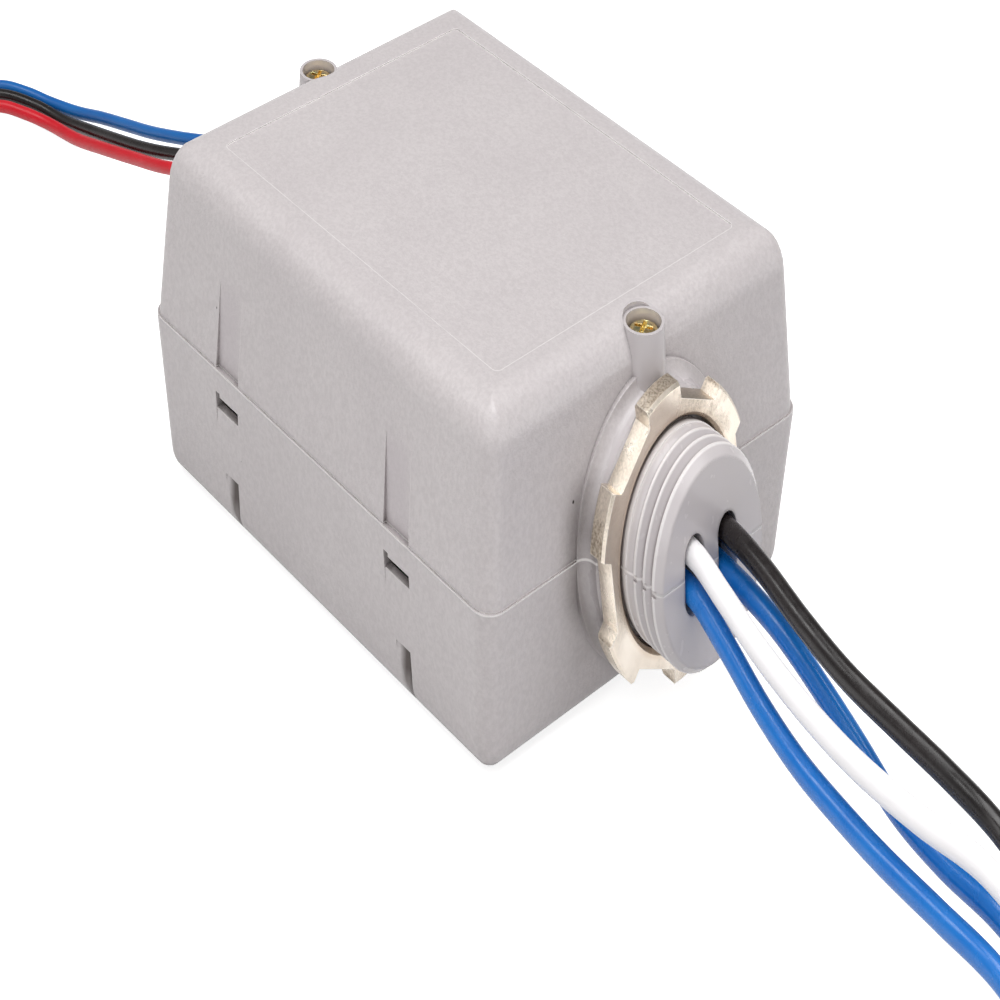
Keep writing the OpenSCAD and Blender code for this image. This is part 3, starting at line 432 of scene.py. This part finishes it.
def housing_plastic():
    """Light grey plastic: fine grain from a textured mould, smooth on the nipple and bosses."""
    made = material("housing_plastic", (0.567, 0.519, 0.522), 0.4, Specular_IOR_Level=0.5)
    x, y, z = split(made, place(made))
    polished = polished_places(made)
    textured = minus(made, 1.0, polished)
    grain = ramp(made, noise(made, COLOR_GRAIN, 3, 0.7), 0.38, 0.62, 0, GRAIN_SHARE)
    dirt = math_node(made, "ADD", specks(made, *COARSE_DIRT), specks(made, *FINE_DIRT), clamp=True)
    worn = ramp(made, polished, 0, 1, WORN_SHEEN_SHARE, WORN_SHEEN_POLISHED_SHARE)
    reach = ramp(made, polished, 0, 1, CREVICE_REACH, POLISHED_CREVICE_REACH)
    # Painted shade: darker in crevices, at the deep end of the pry notches and round the collar
    # behind the locknut
    dark = largest(made, ramp(made, open_space(made, reach), 0.62, 0.22, 0, CREVICE_SHARE),
                   times(made, notch_shade(made, x, y, z), NOTCH_SHARE),
                   times(made, collar_shade(made, x, y, z), COLLAR_SHARE))
    color = mix(made, ramp(made, noise(made, CLOUDS, 3), 0.35, 0.65), *PLASTIC_TONES)
    for mask, tone in (
        (times(made, grain, textured), GRAIN_TONE),
        (times(made, scratches(made), SCRATCH_SHARE), SCRATCH_TONE),
        (times(made, dirt, DIRT_SHARE), DIRT_TONE),
        (placed_specks(made), SPECK_TONE),
        # worn polish along outward edges, partly a painted edge highlight
        (times(made, worn_and_sheen_edges(made, WORN_SHEEN_REACH), worn), WORN_SHEEN_TONE),
        # painted shade in the recesses above the latches
        (times(made, recess_shade(made, x, y, z), RECESS_SHADE_SHARE), RECESS_SHADE_TONE),
        (times(made, polished, POLISHED_SHARE), POLISHED_TONE),
        (dark, SHADE_TONE),
        # painted highlights on the parting line, the label recess's edge and the thread's crests
        (highlight_lines(made), HIGHLIGHT_LINE_TONE),
    ):
        color = mix(made, mask, color, tone)
    feed(made, "Base Color", color)
    gloss = ramp(made, noise(made, GLOSS_PATCHES, 2), 0.3, 0.7, 0.33, 0.42)
    feed(made, "Roughness", math_node(made, "ADD", gloss, times(made, polished, -0.14)))
    corner = ramp(made, x, *NIPPLE_EDGE_BAND, EDGE_RADIUS, NIPPLE_EDGE_RADIUS)
    height = math_node(made, "ADD", times(made, noise(made, RELIEF_GRAIN, 2, 0.6), textured),
                       times(made, noise(made, RELIEF_WAVES, 2), 0.5))
    feed(made, "Normal", bump(made, height, 1.0, RELIEF_DEPTH, rounded(made, corner)))
    return made


# Metals

NICKEL_TONES = (0.77, 0.68, 0.58), (0.88, 0.8, 0.7)
NICKEL_WARM_TONE = (0.58, 0.43, 0.3)
# brown on the lugs' sides, partly a painted dark reflection, and on stains
NICKEL_ROUGH_REFLECTION_TONE = (0.47, 0.39, 0.3)
NICKEL_PIT_TONE = (0.1, 0.07, 0.05)
NICKEL_SPECK_TONE = (0.2, 0.14, 0.1)
# outward edges: worn plate, partly a painted edge highlight
NICKEL_WORN_SHEEN_TONE = (0.95, 0.91, 0.84)
# painted shade in the gaps round the locknut
NICKEL_GAP_SHADE_TONE = (0.06, 0.035, 0.02)
# Cells per metre of each pattern on the nickel plate
NICKEL_CLOUDS = 260
NICKEL_PATCHES = 230
NICKEL_STAINS = 200
NICKEL_PITS = 3400
NICKEL_WAVES = 900
NICKEL_SPECKS = 600, 0.05 * MM, 0.35
NICKEL_WARM_BAND = 12 * MM, 11.2 * MM
NICKEL_STAIN_BAND = -6 * MM, 4 * MM
NICKEL_PIT_DEPTH = 0.12 * MM
NICKEL_EDGE_RADIUS = 0.12 * MM
LUG_BAND = LUG_R, LUG_R + 0.4 * MM
BULGE_BAND = COLLAR_X + 0.4 * MM, COLLAR_X + 2.6 * MM
BULGES = 0.1, 0.48
ZINC_TONES = (0.95, 0.8, 0.45), (0.9, 0.66, 0.3)
ZINC_GREEN_TONE = (0.6, 0.66, 0.36)
ZINC_EDGE_RADIUS = 0.25 * MM
ZINC_RELIEF_DEPTH = 0.08 * MM


def plated_steel():
    """Nickel plate: warm and fine on the faces, gritty on the stamped lugs' sides, whose brown is
    partly a painted dark reflection and partly stains.
    """
    made = material("plated_steel", (0.64, 0.55, 0.45), 0.3, Metallic=1.0)
    x, y, z = split(made, place(made))
    away = from_axis(made, y, z)
    side = ramp(made, facing(made)[0], 0.75, 0.6)
    tip = ramp(made, away, *LUG_BAND)
    patchy = ramp(made, noise(made, NICKEL_PATCHES, 2), 0.34, 0.56, 0.3, 1)
    stains = times(made, ramp(made, noise(made, NICKEL_STAINS, 3, 0.6), 0.46, 0.6, 0, 0.5),
                   ramp(made, y, *NICKEL_STAIN_BAND, 0.3, 1))
    rough = largest(made, times(made, side, patchy, ramp(made, tip, 0, 1, 0.4, 1)), stains)
    pits = noise(made, NICKEL_PITS, 6, 0.8)
    tone = mix(made, ramp(made, noise(made, NICKEL_CLOUDS, 3), 0.3, 0.7), *NICKEL_TONES)
    for mask, other in (
        (ramp(made, away, *NICKEL_WARM_BAND, 0, 0.6), NICKEL_WARM_TONE),
        # brown on the lugs' sides, partly a painted dark reflection, and on stains
        (times(made, rough, 0.75), NICKEL_ROUGH_REFLECTION_TONE),
        (times(made, ramp(made, pits, 0.56, 0.36), rough), NICKEL_PIT_TONE),
        (times(made, specks(made, *NICKEL_SPECKS), 0.55), NICKEL_SPECK_TONE),
        # worn plate along outward edges, partly a painted edge highlight
        (times(made, worn_and_sheen_edges(made, 0.16 * MM), 0.8), NICKEL_WORN_SHEEN_TONE),
        # painted shade where other surfaces close in
        (ramp(made, open_space(made, 0.6 * MM), 0.4, 0.1, 0, 0.9), NICKEL_GAP_SHADE_TONE),
    ):
        tone = mix(made, mask, tone, other)
    feed(made, "Base Color", tone)
    feed(made, "Roughness", ramp(made, rough, 0, 1, 0.24, 0.4))
    # The stamped sides bulge a little, more towards the front, so their normals lean to +X
    bulge = times(made, ramp(made, x, *BULGE_BAND, *BULGES), ramp(made, tip, 0, 1, 1, 0.3), side)
    push = node(made, "CombineXYZ", {0: bulge}).outputs[0]
    leaning = vector_math(made, "NORMALIZE",
                          vector_math(made, "ADD", rounded(made, NICKEL_EDGE_RADIUS), push))
    grit = bump(made, pits, ramp(made, rough, 0, 1, 0.15, 1.0), NICKEL_PIT_DEPTH, leaning)
    feed(made, "Normal", bump(made, noise(made, NICKEL_WAVES, 2), 0.15, 0.05 * MM, grit))
    return made


def screw_plate():
    """Yellow zinc plate with the play of green that passivation leaves."""
    made = material("screw_plate", (0.82, 0.6, 0.26), 0.24, Metallic=1.0)
    tone = mix(made, ramp(made, noise(made, 900, 2), 0.35, 0.65), *ZINC_TONES)
    tone = mix(made, ramp(made, noise(made, 1300, 2), 0.5, 0.7, 0, 0.7), tone, ZINC_GREEN_TONE)
    feed(made, "Base Color", tone)
    feed(made, "Roughness", ramp(made, noise(made, 2000, 2), 0.3, 0.7, 0.14, 0.3))
    feed(made, "Normal", bump(made, noise(made, 1400, 2), 0.8, ZINC_RELIEF_DEPTH,
                              rounded(made, ZINC_EDGE_RADIUS)))
    return made


# Wires and inner parts

DUST_TONE = (0.5, 0.5, 0.5)
DUST = 700, 0.07 * MM, 0.3
DUST_SHARE = 0.35
DRAG_LINES = 1800
DRAG_DEPTH = 0.05 * MM
PAINTED_SHARE = 0.4  # of a ring's pitch on a banded part


def insulation(name, color, worn, roughness):
    """Extruded insulation: a slightly uneven gloss, faint drag lines and dust."""
    made = material(name, color, roughness, Specular_IOR_Level=0.55)
    tone = mix(made, ramp(made, noise(made, 160, 3), 0.3, 0.7, 0, 1), color, worn)
    dust = times(made, specks(made, *DUST), DUST_SHARE)
    feed(made, "Base Color", mix(made, dust, tone, DUST_TONE))
    feed(made, "Roughness", ramp(made, noise(made, 700, 3), 0.3, 0.7, roughness - 0.05,
                                 roughness + 0.07))
    drawn_out = node(made, "Mapping", {"Vector": place(made), "Scale": (0.25, 1, 1)}).outputs[0]
    feed(made, "Normal", bump(made, noise(made, DRAG_LINES, 3, vector=drawn_out), 0.35,
                              DRAG_DEPTH))
    return made


def plain(name, dark, light, roughness, scale=400, **sockets):
    """Moulded or coated material: two tones in slow clouds, and a fine grain."""
    made = material(name, dark, roughness, **sockets)
    feed(made, "Base Color", mix(made, ramp(made, noise(made, scale * 0.3, 3), 0.3, 0.7),
                                 dark, light))
    feed(made, "Roughness", ramp(made, noise(made, scale, 2), 0.3, 0.7, roughness - 0.06,
                                 roughness + 0.06))
    feed(made, "Normal", bump(made, noise(made, scale * 4, 2), 0.3, 0.03 * MM))
    return made


def board_laminate():
    """Green laminate with copper tracks under its lacquer."""
    made = material("board_laminate", (0.02, 0.16, 0.07), 0.3)
    tracks = node(made, "TexBrick", {
        "Vector": place(made), "Scale": 160.0, "Mortar Size": 0.09, "Color1": (0, 0, 0, 1),
        "Color2": (0, 0, 0, 1), "Mortar": (1, 1, 1, 1)}).outputs["Color"]
    feed(made, "Base Color", mix(made, tracks, (0.015, 0.13, 0.055), (0.04, 0.24, 0.1)))
    feed(made, "Normal", bump(made, tracks, 0.3, 0.05 * MM))
    return made


def waves(made, scale, distortion, direction):
    return node(made, "TexWave", {"Vector": place(made), "Scale": scale, "Distortion": distortion},
                bands_direction=direction).outputs["Fac"]


def laminations():
    """Stack of thin steel plates, seen as fine lines across the pack."""
    made = material("laminations", (0.3, 0.3, 0.32), 0.38, Metallic=1.0)
    lines = waves(made, 320.0, 0.4, "X")
    feed(made, "Base Color", mix(made, lines, (0.16, 0.15, 0.15), (0.42, 0.42, 0.45)))
    feed(made, "Normal", bump(made, lines, 0.5, 0.08 * MM))
    return made


def winding(name, dark, light):
    """Turns of enamelled wire under a film of tape."""
    made = material(name, dark, 0.3, Coat_Weight=0.4)
    turns = waves(made, 480.0, 0.6, "Z")
    feed(made, "Base Color", mix(made, turns, dark, light))
    feed(made, "Normal", bump(made, turns, 0.5, 0.1 * MM))
    return made


def banded(name, coat, bands, pitch, patches):
    """Axial component: a coat with painted rings across Y and faint patches."""
    made = material(name, coat, 0.3)
    y = split(made, place(made))[1]
    along = math_node(made, "MODULO", without_sign(made, y), pitch)
    ring = below(made, along, pitch * PAINTED_SHARE)
    tone = mix(made, ring, coat, bands)
    feed(made, "Base Color", mix(made, ramp(made, noise(made, 500), 0.3, 0.7, 0, 0.3), tone,
                                 patches))
    feed(made, "Normal", bump(made, noise(made, 2000), 0.2, 0.03 * MM))
    return made


HOUSING = housing_plastic()
BLACK_PART = plain("black_moulding", (0.018, 0.018, 0.02), (0.03, 0.03, 0.032), 0.42)
COPPER = plain("bare_copper", (0.62, 0.28, 0.15), (0.8, 0.44, 0.26), 0.26, Metallic=1.0)
BLACK_WIRE = insulation("black_insulation", (0.008, 0.006, 0.006), (0.016, 0.012, 0.012), 0.26)
WHITE_WIRE = insulation("white_insulation", (0.92, 0.9, 0.91), (0.95, 0.93, 0.94), 0.4)
BLUE_WIRE = insulation("load_blue_insulation", (0.006, 0.15, 0.54), (0.014, 0.19, 0.6), 0.24)
THIN_BLUE_WIRE = insulation("sensor_blue_insulation", (0.001, 0.1, 0.37), (0.002, 0.13, 0.42),
                            0.34)
RED_WIRE = insulation("red_insulation", (0.52, 0.001, 0.01), (0.58, 0.004, 0.016), 0.34)
CAN = plain("can_sleeve", (0.012, 0.02, 0.07), (0.03, 0.045, 0.12), 0.24)

PAINT = {
    "upper_shell": HOUSING,
    "lower_shell": HOUSING,
    "locknut": plated_steel(),
    "circuit_board": board_laminate(),
    "transformer_core": laminations(),
    "transformer_bobbin": plain("bobbin_nylon", (0.03, 0.03, 0.034), (0.05, 0.05, 0.055), 0.4),
    "primary_winding": winding("primary_wire", (0.3, 0.09, 0.03), (0.62, 0.25, 0.1)),
    "secondary_winding": winding("tape_film", (0.5, 0.36, 0.05), (0.72, 0.56, 0.14)),
    "relay": plain("relay_case", (0.012, 0.014, 0.02), (0.024, 0.027, 0.036), 0.3),
    "tab_sleeves": plain("sleeve_nylon", (0.42, 0.03, 0.025), (0.52, 0.06, 0.045), 0.34),
    "varistor": plain("varistor_epoxy", (0.03, 0.09, 0.34), (0.05, 0.13, 0.42), 0.26, scale=250),
    "filter_capacitor": CAN,
    "output_capacitor": CAN,
    "rectifier_diodes": banded("diode_epoxy", (0.02, 0.02, 0.022), (0.55, 0.55, 0.55), 5.2 * MM,
                               (0.3, 0.3, 0.3)),
    "voltage_regulator": BLACK_PART,
    "driver_transistor": BLACK_PART,
    "flyback_diode": banded("small_diode_glass", (0.3, 0.07, 0.02), (0.02, 0.02, 0.02), 4.1 * MM,
                            (0.3, 0.3, 0.3)),
    "resistors": banded("resistor_lacquer", (0.52, 0.4, 0.24), (0.28, 0.06, 0.02), 1.5 * MM,
                        (0.4, 0.3, 0.2)),
}
PAINT["front_screw"] = PAINT["rear_screw"] = screw_plate()

# Shading of the nodes

WELD_GAP = 0.002 * MM
SHARP_ANGLE = 28
RUNOUT_SHARP_ANGLE = 50


def dress(obj, made, sharp=SHARP_ANGLE):
    """Gives a CAD node its material, and smooth shading up to that angle between faces."""
    obj.data.materials.clear()
    obj.data.materials.append(made)
    for face in obj.data.polygons:
        face.use_smooth = True
    obj.modifiers.new("weld", "WELD").merge_threshold = WELD_GAP
    obj.modifiers.new("split", "EDGE_SPLIT").split_angle = math.radians(sharp)
    obj.modifiers.new("normals", "WEIGHTED_NORMAL").keep_sharp = True


for name, made in PAINT.items():
    dress(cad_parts[name], made)


# Thread runout

# Where the thread dies away in front of the locknut, its root is almost as high as its
# crests. The profile holds the distance from the locknut's front and the radius.
RUNOUT_X = COLLAR_X + 2.9 * MM
RUNOUT = ((-0.9, 10.3), (-0.7, 10.6), (0.2, 10.6), (0.9, 10.5), (1.5, 10.32), (1.9, 9.9),
          (1.9, 9), (-0.9, 9))
RUNOUT_SIDES = 160


def add_runout():
    """A ring turned about the nipple's axis."""
    points, faces = [], []
    for k in range(RUNOUT_SIDES):
        turn = 2 * math.pi * k / RUNOUT_SIDES
        for x, radius in RUNOUT:
            points.append((RUNOUT_X + x * MM, radius * MM * math.cos(turn),
                           PARTING_Z + radius * MM * math.sin(turn)))
    count = len(RUNOUT)
    for k in range(RUNOUT_SIDES):
        a, b = k * count, (k + 1) % RUNOUT_SIDES * count
        for i in range(count):
            j = (i + 1) % count
            faces.append((a + i, b + i, b + j, a + j))
    mesh = bpy.data.meshes.new("thread_runout")
    mesh.from_pydata(points, [], faces)
    mesh.update()
    ring = link(bpy.data.objects.new("thread_runout", mesh))
    dress(ring, HOUSING, RUNOUT_SHARP_ANGLE)
    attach(ring, "root")


add_runout()


# Leads

# Each route is the one in the part's source, in millimetres, from where the lead is
# joined inside the housing to its stripped end.
MAINS_BLACK_ROUTE = (
    (27.5, 9, 5.8), (27.5, 9, 9.6), (29, 8.3, 12.9), (32.9, 6.6, 17.1), (38.5, 4.2, 18.9),
    (45, 3.4, 18.9), (52.5, 2.8, 19.1), (60, 2, 18.8), (69, 0.8, 17.6), (77, 0.5, 16.3),
    (85, 1.3, 15), (93, 2.1, 13.8), (101, 2.4, 12.5), (108, 3.3, 9), (115, 3.8, 5.4),
    (121, 4.2, 2.5), (127, 4.3, 1.4), (133, 5.8, 1.4), (137.4, 10.1, 1.4), (139, 17, 1.4),
    (137.4, 23, 1.4), (133, 27.4, 1.4), (127, 29, 1.4), (115, 29.2, 1.4), (103, 28.8, 1.4),
)
MAINS_WHITE_ROUTE = (
    (27.5, -9, 5.8), (27.5, -9, 9.6), (29, -8.3, 12.8), (32.9, -6.6, 17), (38.5, -4.2, 18.8),
    (45, -3.8, 18.8), (52.5, -3.6, 18.8), (58, -3.7, 17.2), (65.4, -3.7, 14.8), (74, -3.6, 12.9),
    (83, -4.1, 12.4), (93, -3.9, 12.3), (103, -2.6, 11.9), (111, -1.5, 8.7), (118, -1.6, 4.9),
    (123, -1.8, 2.4), (127, -1.9, 1.4), (136.1, 0.3, 1.4), (142.8, 6.9, 1.4), (145.2, 17, 1.4),
    (142.8, 26.1, 1.4), (136.1, 32.8, 1.4), (127, 35.2, 1.4), (120, 35.4, 1.4),
)
LOAD_LEFT_ROUTE = (
    (29, -4.1, 14.8), (34, -4.1, 14.8), (40, -4.1, 14.8), (46, -3.9, 15), (52.5, -3.9, 15.2),
    (58.6, -3.9, 12.9), (65.5, -4.1, 10), (72.5, -4.4, 8.1), (80.5, -4.7, 7.1), (88, -5, 6.6),
    (97, -4.9, 6.1), (106, -4.6, 5.3), (113, -4.4, 2.7), (120, -4.8, 1.6), (127, -5, 1.4),
    (137.7, -2.3, 1.4), (145.4, 5.4, 1.4), (148.3, 17, 1.4), (145.4, 27.6, 1.4),
    (137.7, 35.4, 1.4), (127, 38.2, 1.4),
)
LOAD_RIGHT_ROUTE = (
    (29, 4.1, 14.8), (34, 4.1, 14.8), (40, 4.1, 14.9), (46, 3.1, 15), (52.5, 2.4, 15.3),
    (58, 2.2, 15), (64, 1.8, 14.3), (71.3, 1.4, 12.4), (78, 1.1, 10.2), (85, 0.6, 7.9),
    (93, 0.4, 6.8), (102, 0.6, 6.2), (110, 1.2, 3.7), (118, 1.3, 1.9), (127, 1.2, 1.4),
    (134.6, 3.1, 1.4), (140.1, 8.6, 1.4), (142.1, 17, 1.4), (140.1, 24.6, 1.4),
    (134.6, 30.1, 1.4), (127, 32.1, 1.4), (108, 32.5, 1.4),
)
SENSOR_BLUE_ROUTE = (
    (-32.5, 10.1, 5.8), (-32.5, 10.1, 11), (-34.3, 10.1, 15.2), (-38.5, 10.1, 17),
    (-43, 10.1, 16.9), (-49, 9.8, 16.9), (-57, 9, 16.1), (-65, 7.7, 14.6), (-73, 5.8, 12.9),
    (-81, 4.4, 11), (-89.7, 3.9, 8.8), (-97, 3.9, 7.1), (-105, 3.8, 5.3), (-112, 3.3, 3.7),
    (-119, 2, 2.9), (-124, 0.2, 3), (-128.8, -2.5, 3), (-134.4, -8.3, 2), (-137, -17.3, 0.9),
    (-134.4, -26.9, 0.9), (-127.5, -33.8, 0.9), (-119, -36.3, 0.9),
)
SENSOR_BLACK_ROUTE = (
    (-32.5, 8, 5.8), (-32.5, 8, 11), (-34.3, 8, 15.2), (-38.5, 8, 17), (-43, 8, 16.9),
    (-50, 7.4, 16.6), (-58, 6.3, 15.6), (-66, 4.6, 13.8), (-74, 2.8, 11.7), (-82, 1.5, 9.7),
    (-89, 1.1, 8), (-97, 1.1, 6.2), (-105, 1.3, 4.4), (-113.5, 1.1, 2.8), (-120, -0.5, 2.9),
    (-126.6, -3.9, 3), (-132.4, -9.5, 1.9), (-134.6, -17.3, 0.9), (-132.4, -25.7, 0.9),
    (-126.3, -31.8, 0.9), (-117.9, -34, 0.9), (-111, -34.2, 0.9),
)
SENSOR_RED_ROUTE = (
    (-32.5, 5.9, 5.8), (-32.5, 5.9, 11), (-34.3, 5.9, 15.2), (-38.5, 5.9, 17), (-43, 5.9, 16.9),
    (-50, 5, 16.5), (-58, 3.6, 15.1), (-66, 1.7, 13), (-73, 0.2, 11.1), (-80, -0.8, 9.4),
    (-88, -0.8, 7.5), (-98, -0.9, 5.3), (-106, -0.9, 3.6), (-114, -1.3, 2.8), (-119, -3, 2.9),
    (-124, -5.5, 2.9), (-130, -10.8, 1.9), (-131.9, -17.3, 0.9), (-130, -24.3, 0.9),
    (-124.9, -29.4, 0.9), (-117.9, -31.3, 0.9), (-103.5, -31.6, 0.9),
)

# A cord's diameter, its bare end's diameter and the strands in each of the end's rings
MAINS = (2.7, 1.8, (1, 6, 12))
SENSOR = (1.6, 0.8, (1, 6))
STRANDS_L = 10
STRAND_STEPS = 24
STRAND_SIDES = 6
TUBE_SIDE_HINT = Vector((0.1, 0.2, 1))  # no strand runs this way
STRAND_LAY = 0.98  # layers sit this much of a strand's width apart
TWIST_LENGTH = 11  # diameters for one turn of the twist
CORD_CURVE_STEPS = 10
CORD_ROUND_STEPS = 7
LAID_FLAT = 0.01 * MM  # points this near to a route's lowest one lie on the floor


def tube(line, radius, sides, points, faces):
    """Adds a closed tube along a line of points."""
    start = len(points)
    for i, at in enumerate(line):
        run = (line[min(i + 1, len(line) - 1)] - line[max(i - 1, 0)]).normalized()
        side = run.cross(TUBE_SIDE_HINT).normalized()
        up = side.cross(run)
        for k in range(sides):
            turn = 2 * math.pi * k / sides
            points.append(at + radius * (math.cos(turn) * side + math.sin(turn) * up))
    for i in range(len(line) - 1):
        for k in range(sides):
            a, b = start + i * sides + k, start + i * sides + (k + 1) % sides
            faces.append((a, b, b + sides, a + sides))
    faces.append(tuple(start + k for k in reversed(range(sides))))
    faces.append(tuple(start + (len(line) - 1) * sides + k for k in range(sides)))


def strands(name, route, diameter, rings):
    """Twisted bare strands past the end of a route, laid in rings round the first one."""
    end, before = Vector(route[-1]) * MM, Vector(route[-2]) * MM
    run = (end - before).normalized()
    side = run.cross(Vector((0, 0, 1))).normalized()
    up = side.cross(run)
    single = diameter * MM / (2 * len(rings) - 1)
    twist = 2 * math.pi / (diameter * TWIST_LENGTH * MM)
    points, faces = [], []
    for layer, count in enumerate(rings):
        out = layer * single * STRAND_LAY
        for k in range(count):
            line = []
            for step in range(STRAND_STEPS + 1):
                along = STRANDS_L * MM * step / STRAND_STEPS
                turn = 2 * math.pi * k / count + twist * along
                round_it = math.cos(turn) * side + math.sin(turn) * up
                line.append(end + run * along + out * round_it)
            tube(line, single / 2, STRAND_SIDES, points, faces)
    mesh = bpy.data.meshes.new(name)
    mesh.from_pydata(points, [], faces)
    mesh.update()
    mesh.materials.append(COPPER)
    for face in mesh.polygons:
        face.use_smooth = True
    obj = link(bpy.data.objects.new(name, mesh))
    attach(obj, "root")
    return obj


def lead(name, route, diameter, made, node_name, bare_node):
    """One insulated lead as a smooth curve through its route; it hides the CAD lead and its bare
    strands.
    """
    curve = bpy.data.curves.new(name, "CURVE")
    curve.dimensions = "3D"
    curve.resolution_u = CORD_CURVE_STEPS
    curve.bevel_depth = diameter / 2 * MM
    curve.bevel_resolution = CORD_ROUND_STEPS
    curve.use_fill_caps = True
    spline = curve.splines.new("BEZIER")
    spline.bezier_points.add(len(route) - 1)
    places = [Vector(point) * MM for point in route]
    lowest = min(at.z for at in places)
    for i, (knot, at) in enumerate(zip(spline.bezier_points, places)):
        before, after = places[max(i - 1, 0)], places[min(i + 1, len(places) - 1)]
        run = after - before
        if at.z <= lowest + LAID_FLAT:
            run.z = 0
        run.normalize()
        knot.co = at
        knot.handle_left_type = knot.handle_right_type = "FREE"
        knot.handle_left = at - run * (at - before).length / 3
        knot.handle_right = at + run * (after - at).length / 3
    curve.materials.append(made)
    obj = link(bpy.data.objects.new(name, curve))
    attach(obj, "root")
    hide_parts(node_name)
    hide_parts(bare_node)


for name, route, kind, exit_point, made, slot, bare_node in (
    ("mains_black_lead", MAINS_BLACK_ROUTE, MAINS, (52.5, 2.8, 19.1), BLACK_WIRE,
     "black_insulation", "mains_black_strands"),
    ("mains_white_lead", MAINS_WHITE_ROUTE, MAINS, (52.5, -3.6, 18.8), WHITE_WIRE,
     "white_insulation", "mains_white_strands"),
    ("load_blue_lead_left", LOAD_LEFT_ROUTE, MAINS, (52.5, -3.9, 15.2), BLUE_WIRE,
     "load_blue_insulation", "load_left_strands"),
    ("load_blue_lead_right", LOAD_RIGHT_ROUTE, MAINS, (52.5, 2.4, 15.3), BLUE_WIRE,
     "load_blue_insulation", "load_right_strands"),
    ("sensor_blue_lead", SENSOR_BLUE_ROUTE, SENSOR, (-40.25, 10.1, 17), THIN_BLUE_WIRE,
     "sensor_blue_insulation", "sensor_blue_strands"),
    ("sensor_black_lead", SENSOR_BLACK_ROUTE, SENSOR, (-40.25, 8, 17), BLACK_WIRE,
     "black_insulation", "sensor_black_strands"),
    ("sensor_red_lead", SENSOR_RED_ROUTE, SENSOR, (-40.25, 5.9, 17), RED_WIRE,
     "red_insulation", "sensor_red_strands"),
):
    diameter, bare_diameter, rings = kind
    bare = strands(bare_node + "_twist", route, bare_diameter, rings)
    lead(name + "_cord", route, diameter, made, name, bare_node)


# Floor, world and lamps

FLOOR_SIZE = 6.0
FLOOR_Z = -0.0003
FLOOR_COLOR = 0.61
FLOOR_LIFT = 0.8  # extra light of the floor as the camera sees it, so that it comes out white
FLOOR_MIRROR_LIFT = 0.6  # and as it is seen in a gloss
WORLD_LIGHT = 0.25
OVERHEAD = 0.18  # how light a gloss sees the room overhead, while the horizon is white
HORIZON_BAND = 0.02, 0.35

# Each lamp's name, direction from the housing's middle, distance, width and power in watts
LAMPS = (
    ("side_softbox", (0.36, -0.8, 0.55), 0.45, 0.32, 0.62),
    ("far_softbox", (-0.66, -0.46, 0.57), 0.9, 0.45, 0.35),
    ("back_softbox", (-0.42, -0.42, 0.8), 0.9, 0.25, 1.0),
    ("top_softbox", (0.14, 0.04, 1), 1.0, 0.8, 8.8),
    ("low_front_softbox", (0.9, 0.38, 0.02), 0.8, 0.4, 1.3),
    ("right_front_softbox", (0.85, 0.45, 0.4), 0.8, 0.5, 0.55),
)


def mirror_ray(made):
    """1 for mirror and see-through rays."""
    path = node(made, "LightPath").outputs
    return largest(made, path["Is Glossy Ray"], path["Is Transmission Ray"])


def camera_ray(made):
    return node(made, "LightPath").outputs["Is Camera Ray"]


def add_floor():
    """White paper that keeps the part's shadow."""
    made = bpy.data.materials.new("floor_paper")
    made.use_nodes = True
    tree = made.node_tree
    tree.nodes.remove(tree.nodes["Principled BSDF"])
    grey = (FLOOR_COLOR, FLOOR_COLOR, FLOOR_COLOR, 1)
    paper = node(made, "BsdfDiffuse", {"Color": grey}).outputs[0]
    strength = math_node(made, "ADD", times(made, camera_ray(made), FLOOR_LIFT),
                         times(made, mirror_ray(made), FLOOR_MIRROR_LIFT))
    lift = node(made, "Emission", {"Strength": strength}).outputs[0]
    both = node(made, "AddShader", {0: paper, 1: lift}).outputs[0]
    tree.links.new(both, tree.nodes["Material Output"].inputs["Surface"])
    half = FLOOR_SIZE / 2
    corners = [(x, y, FLOOR_Z) for x, y in ((-half, -half), (half, -half), (half, half),
                                            (-half, half))]
    mesh = bpy.data.meshes.new("floor")
    mesh.from_pydata(corners, [], [(0, 1, 2, 3)])
    mesh.materials.append(made)
    link(bpy.data.objects.new("floor", mesh))


def set_world():
    """Soft light all round; white for the camera, and white at the horizon for a gloss."""
    world = bpy.data.worlds.new("studio")
    world.use_nodes = True
    bpy.context.scene.world = world
    tree = world.node_tree
    white = (1, 1, 1, 1)
    height = split(world, node(world, "TexCoord").outputs["Generated"])[2]
    room = ramp(world, height, *HORIZON_BAND, 1.0, OVERHEAD)
    shown = largest(world, camera_ray(world), times(world, mirror_ray(world), room))
    seen = node(world, "Background", {"Color": white, "Strength": shown}).outputs[0]
    soft = node(world, "Background", {"Color": white, "Strength": WORLD_LIGHT}).outputs[0]
    direct = largest(world, camera_ray(world), mirror_ray(world))
    both = node(world, "MixShader", {0: direct, 1: soft, 2: seen}).outputs[0]
    tree.links.new(both, tree.nodes["World Output"].inputs["Surface"])


def add_lamp(name, towards, away, width, power):
    """A square softbox turned to face the housing's middle."""
    data = bpy.data.lights.new(name, "AREA")
    data.shape = "SQUARE"
    data.size = width
    data.energy = power
    lamp = bpy.data.objects.new(name, data)
    aim = Vector(towards).normalized()
    lamp.location = Vector((0, 0, PARTING_Z)) + aim * away
    lamp.rotation_mode = "QUATERNION"
    lamp.rotation_quaternion = aim.to_track_quat("Z", "Y")
    link(lamp)


add_floor()
set_world()
for row in LAMPS:
    add_lamp(*row)
bpy.context.scene.view_settings.view_transform = "Standard"
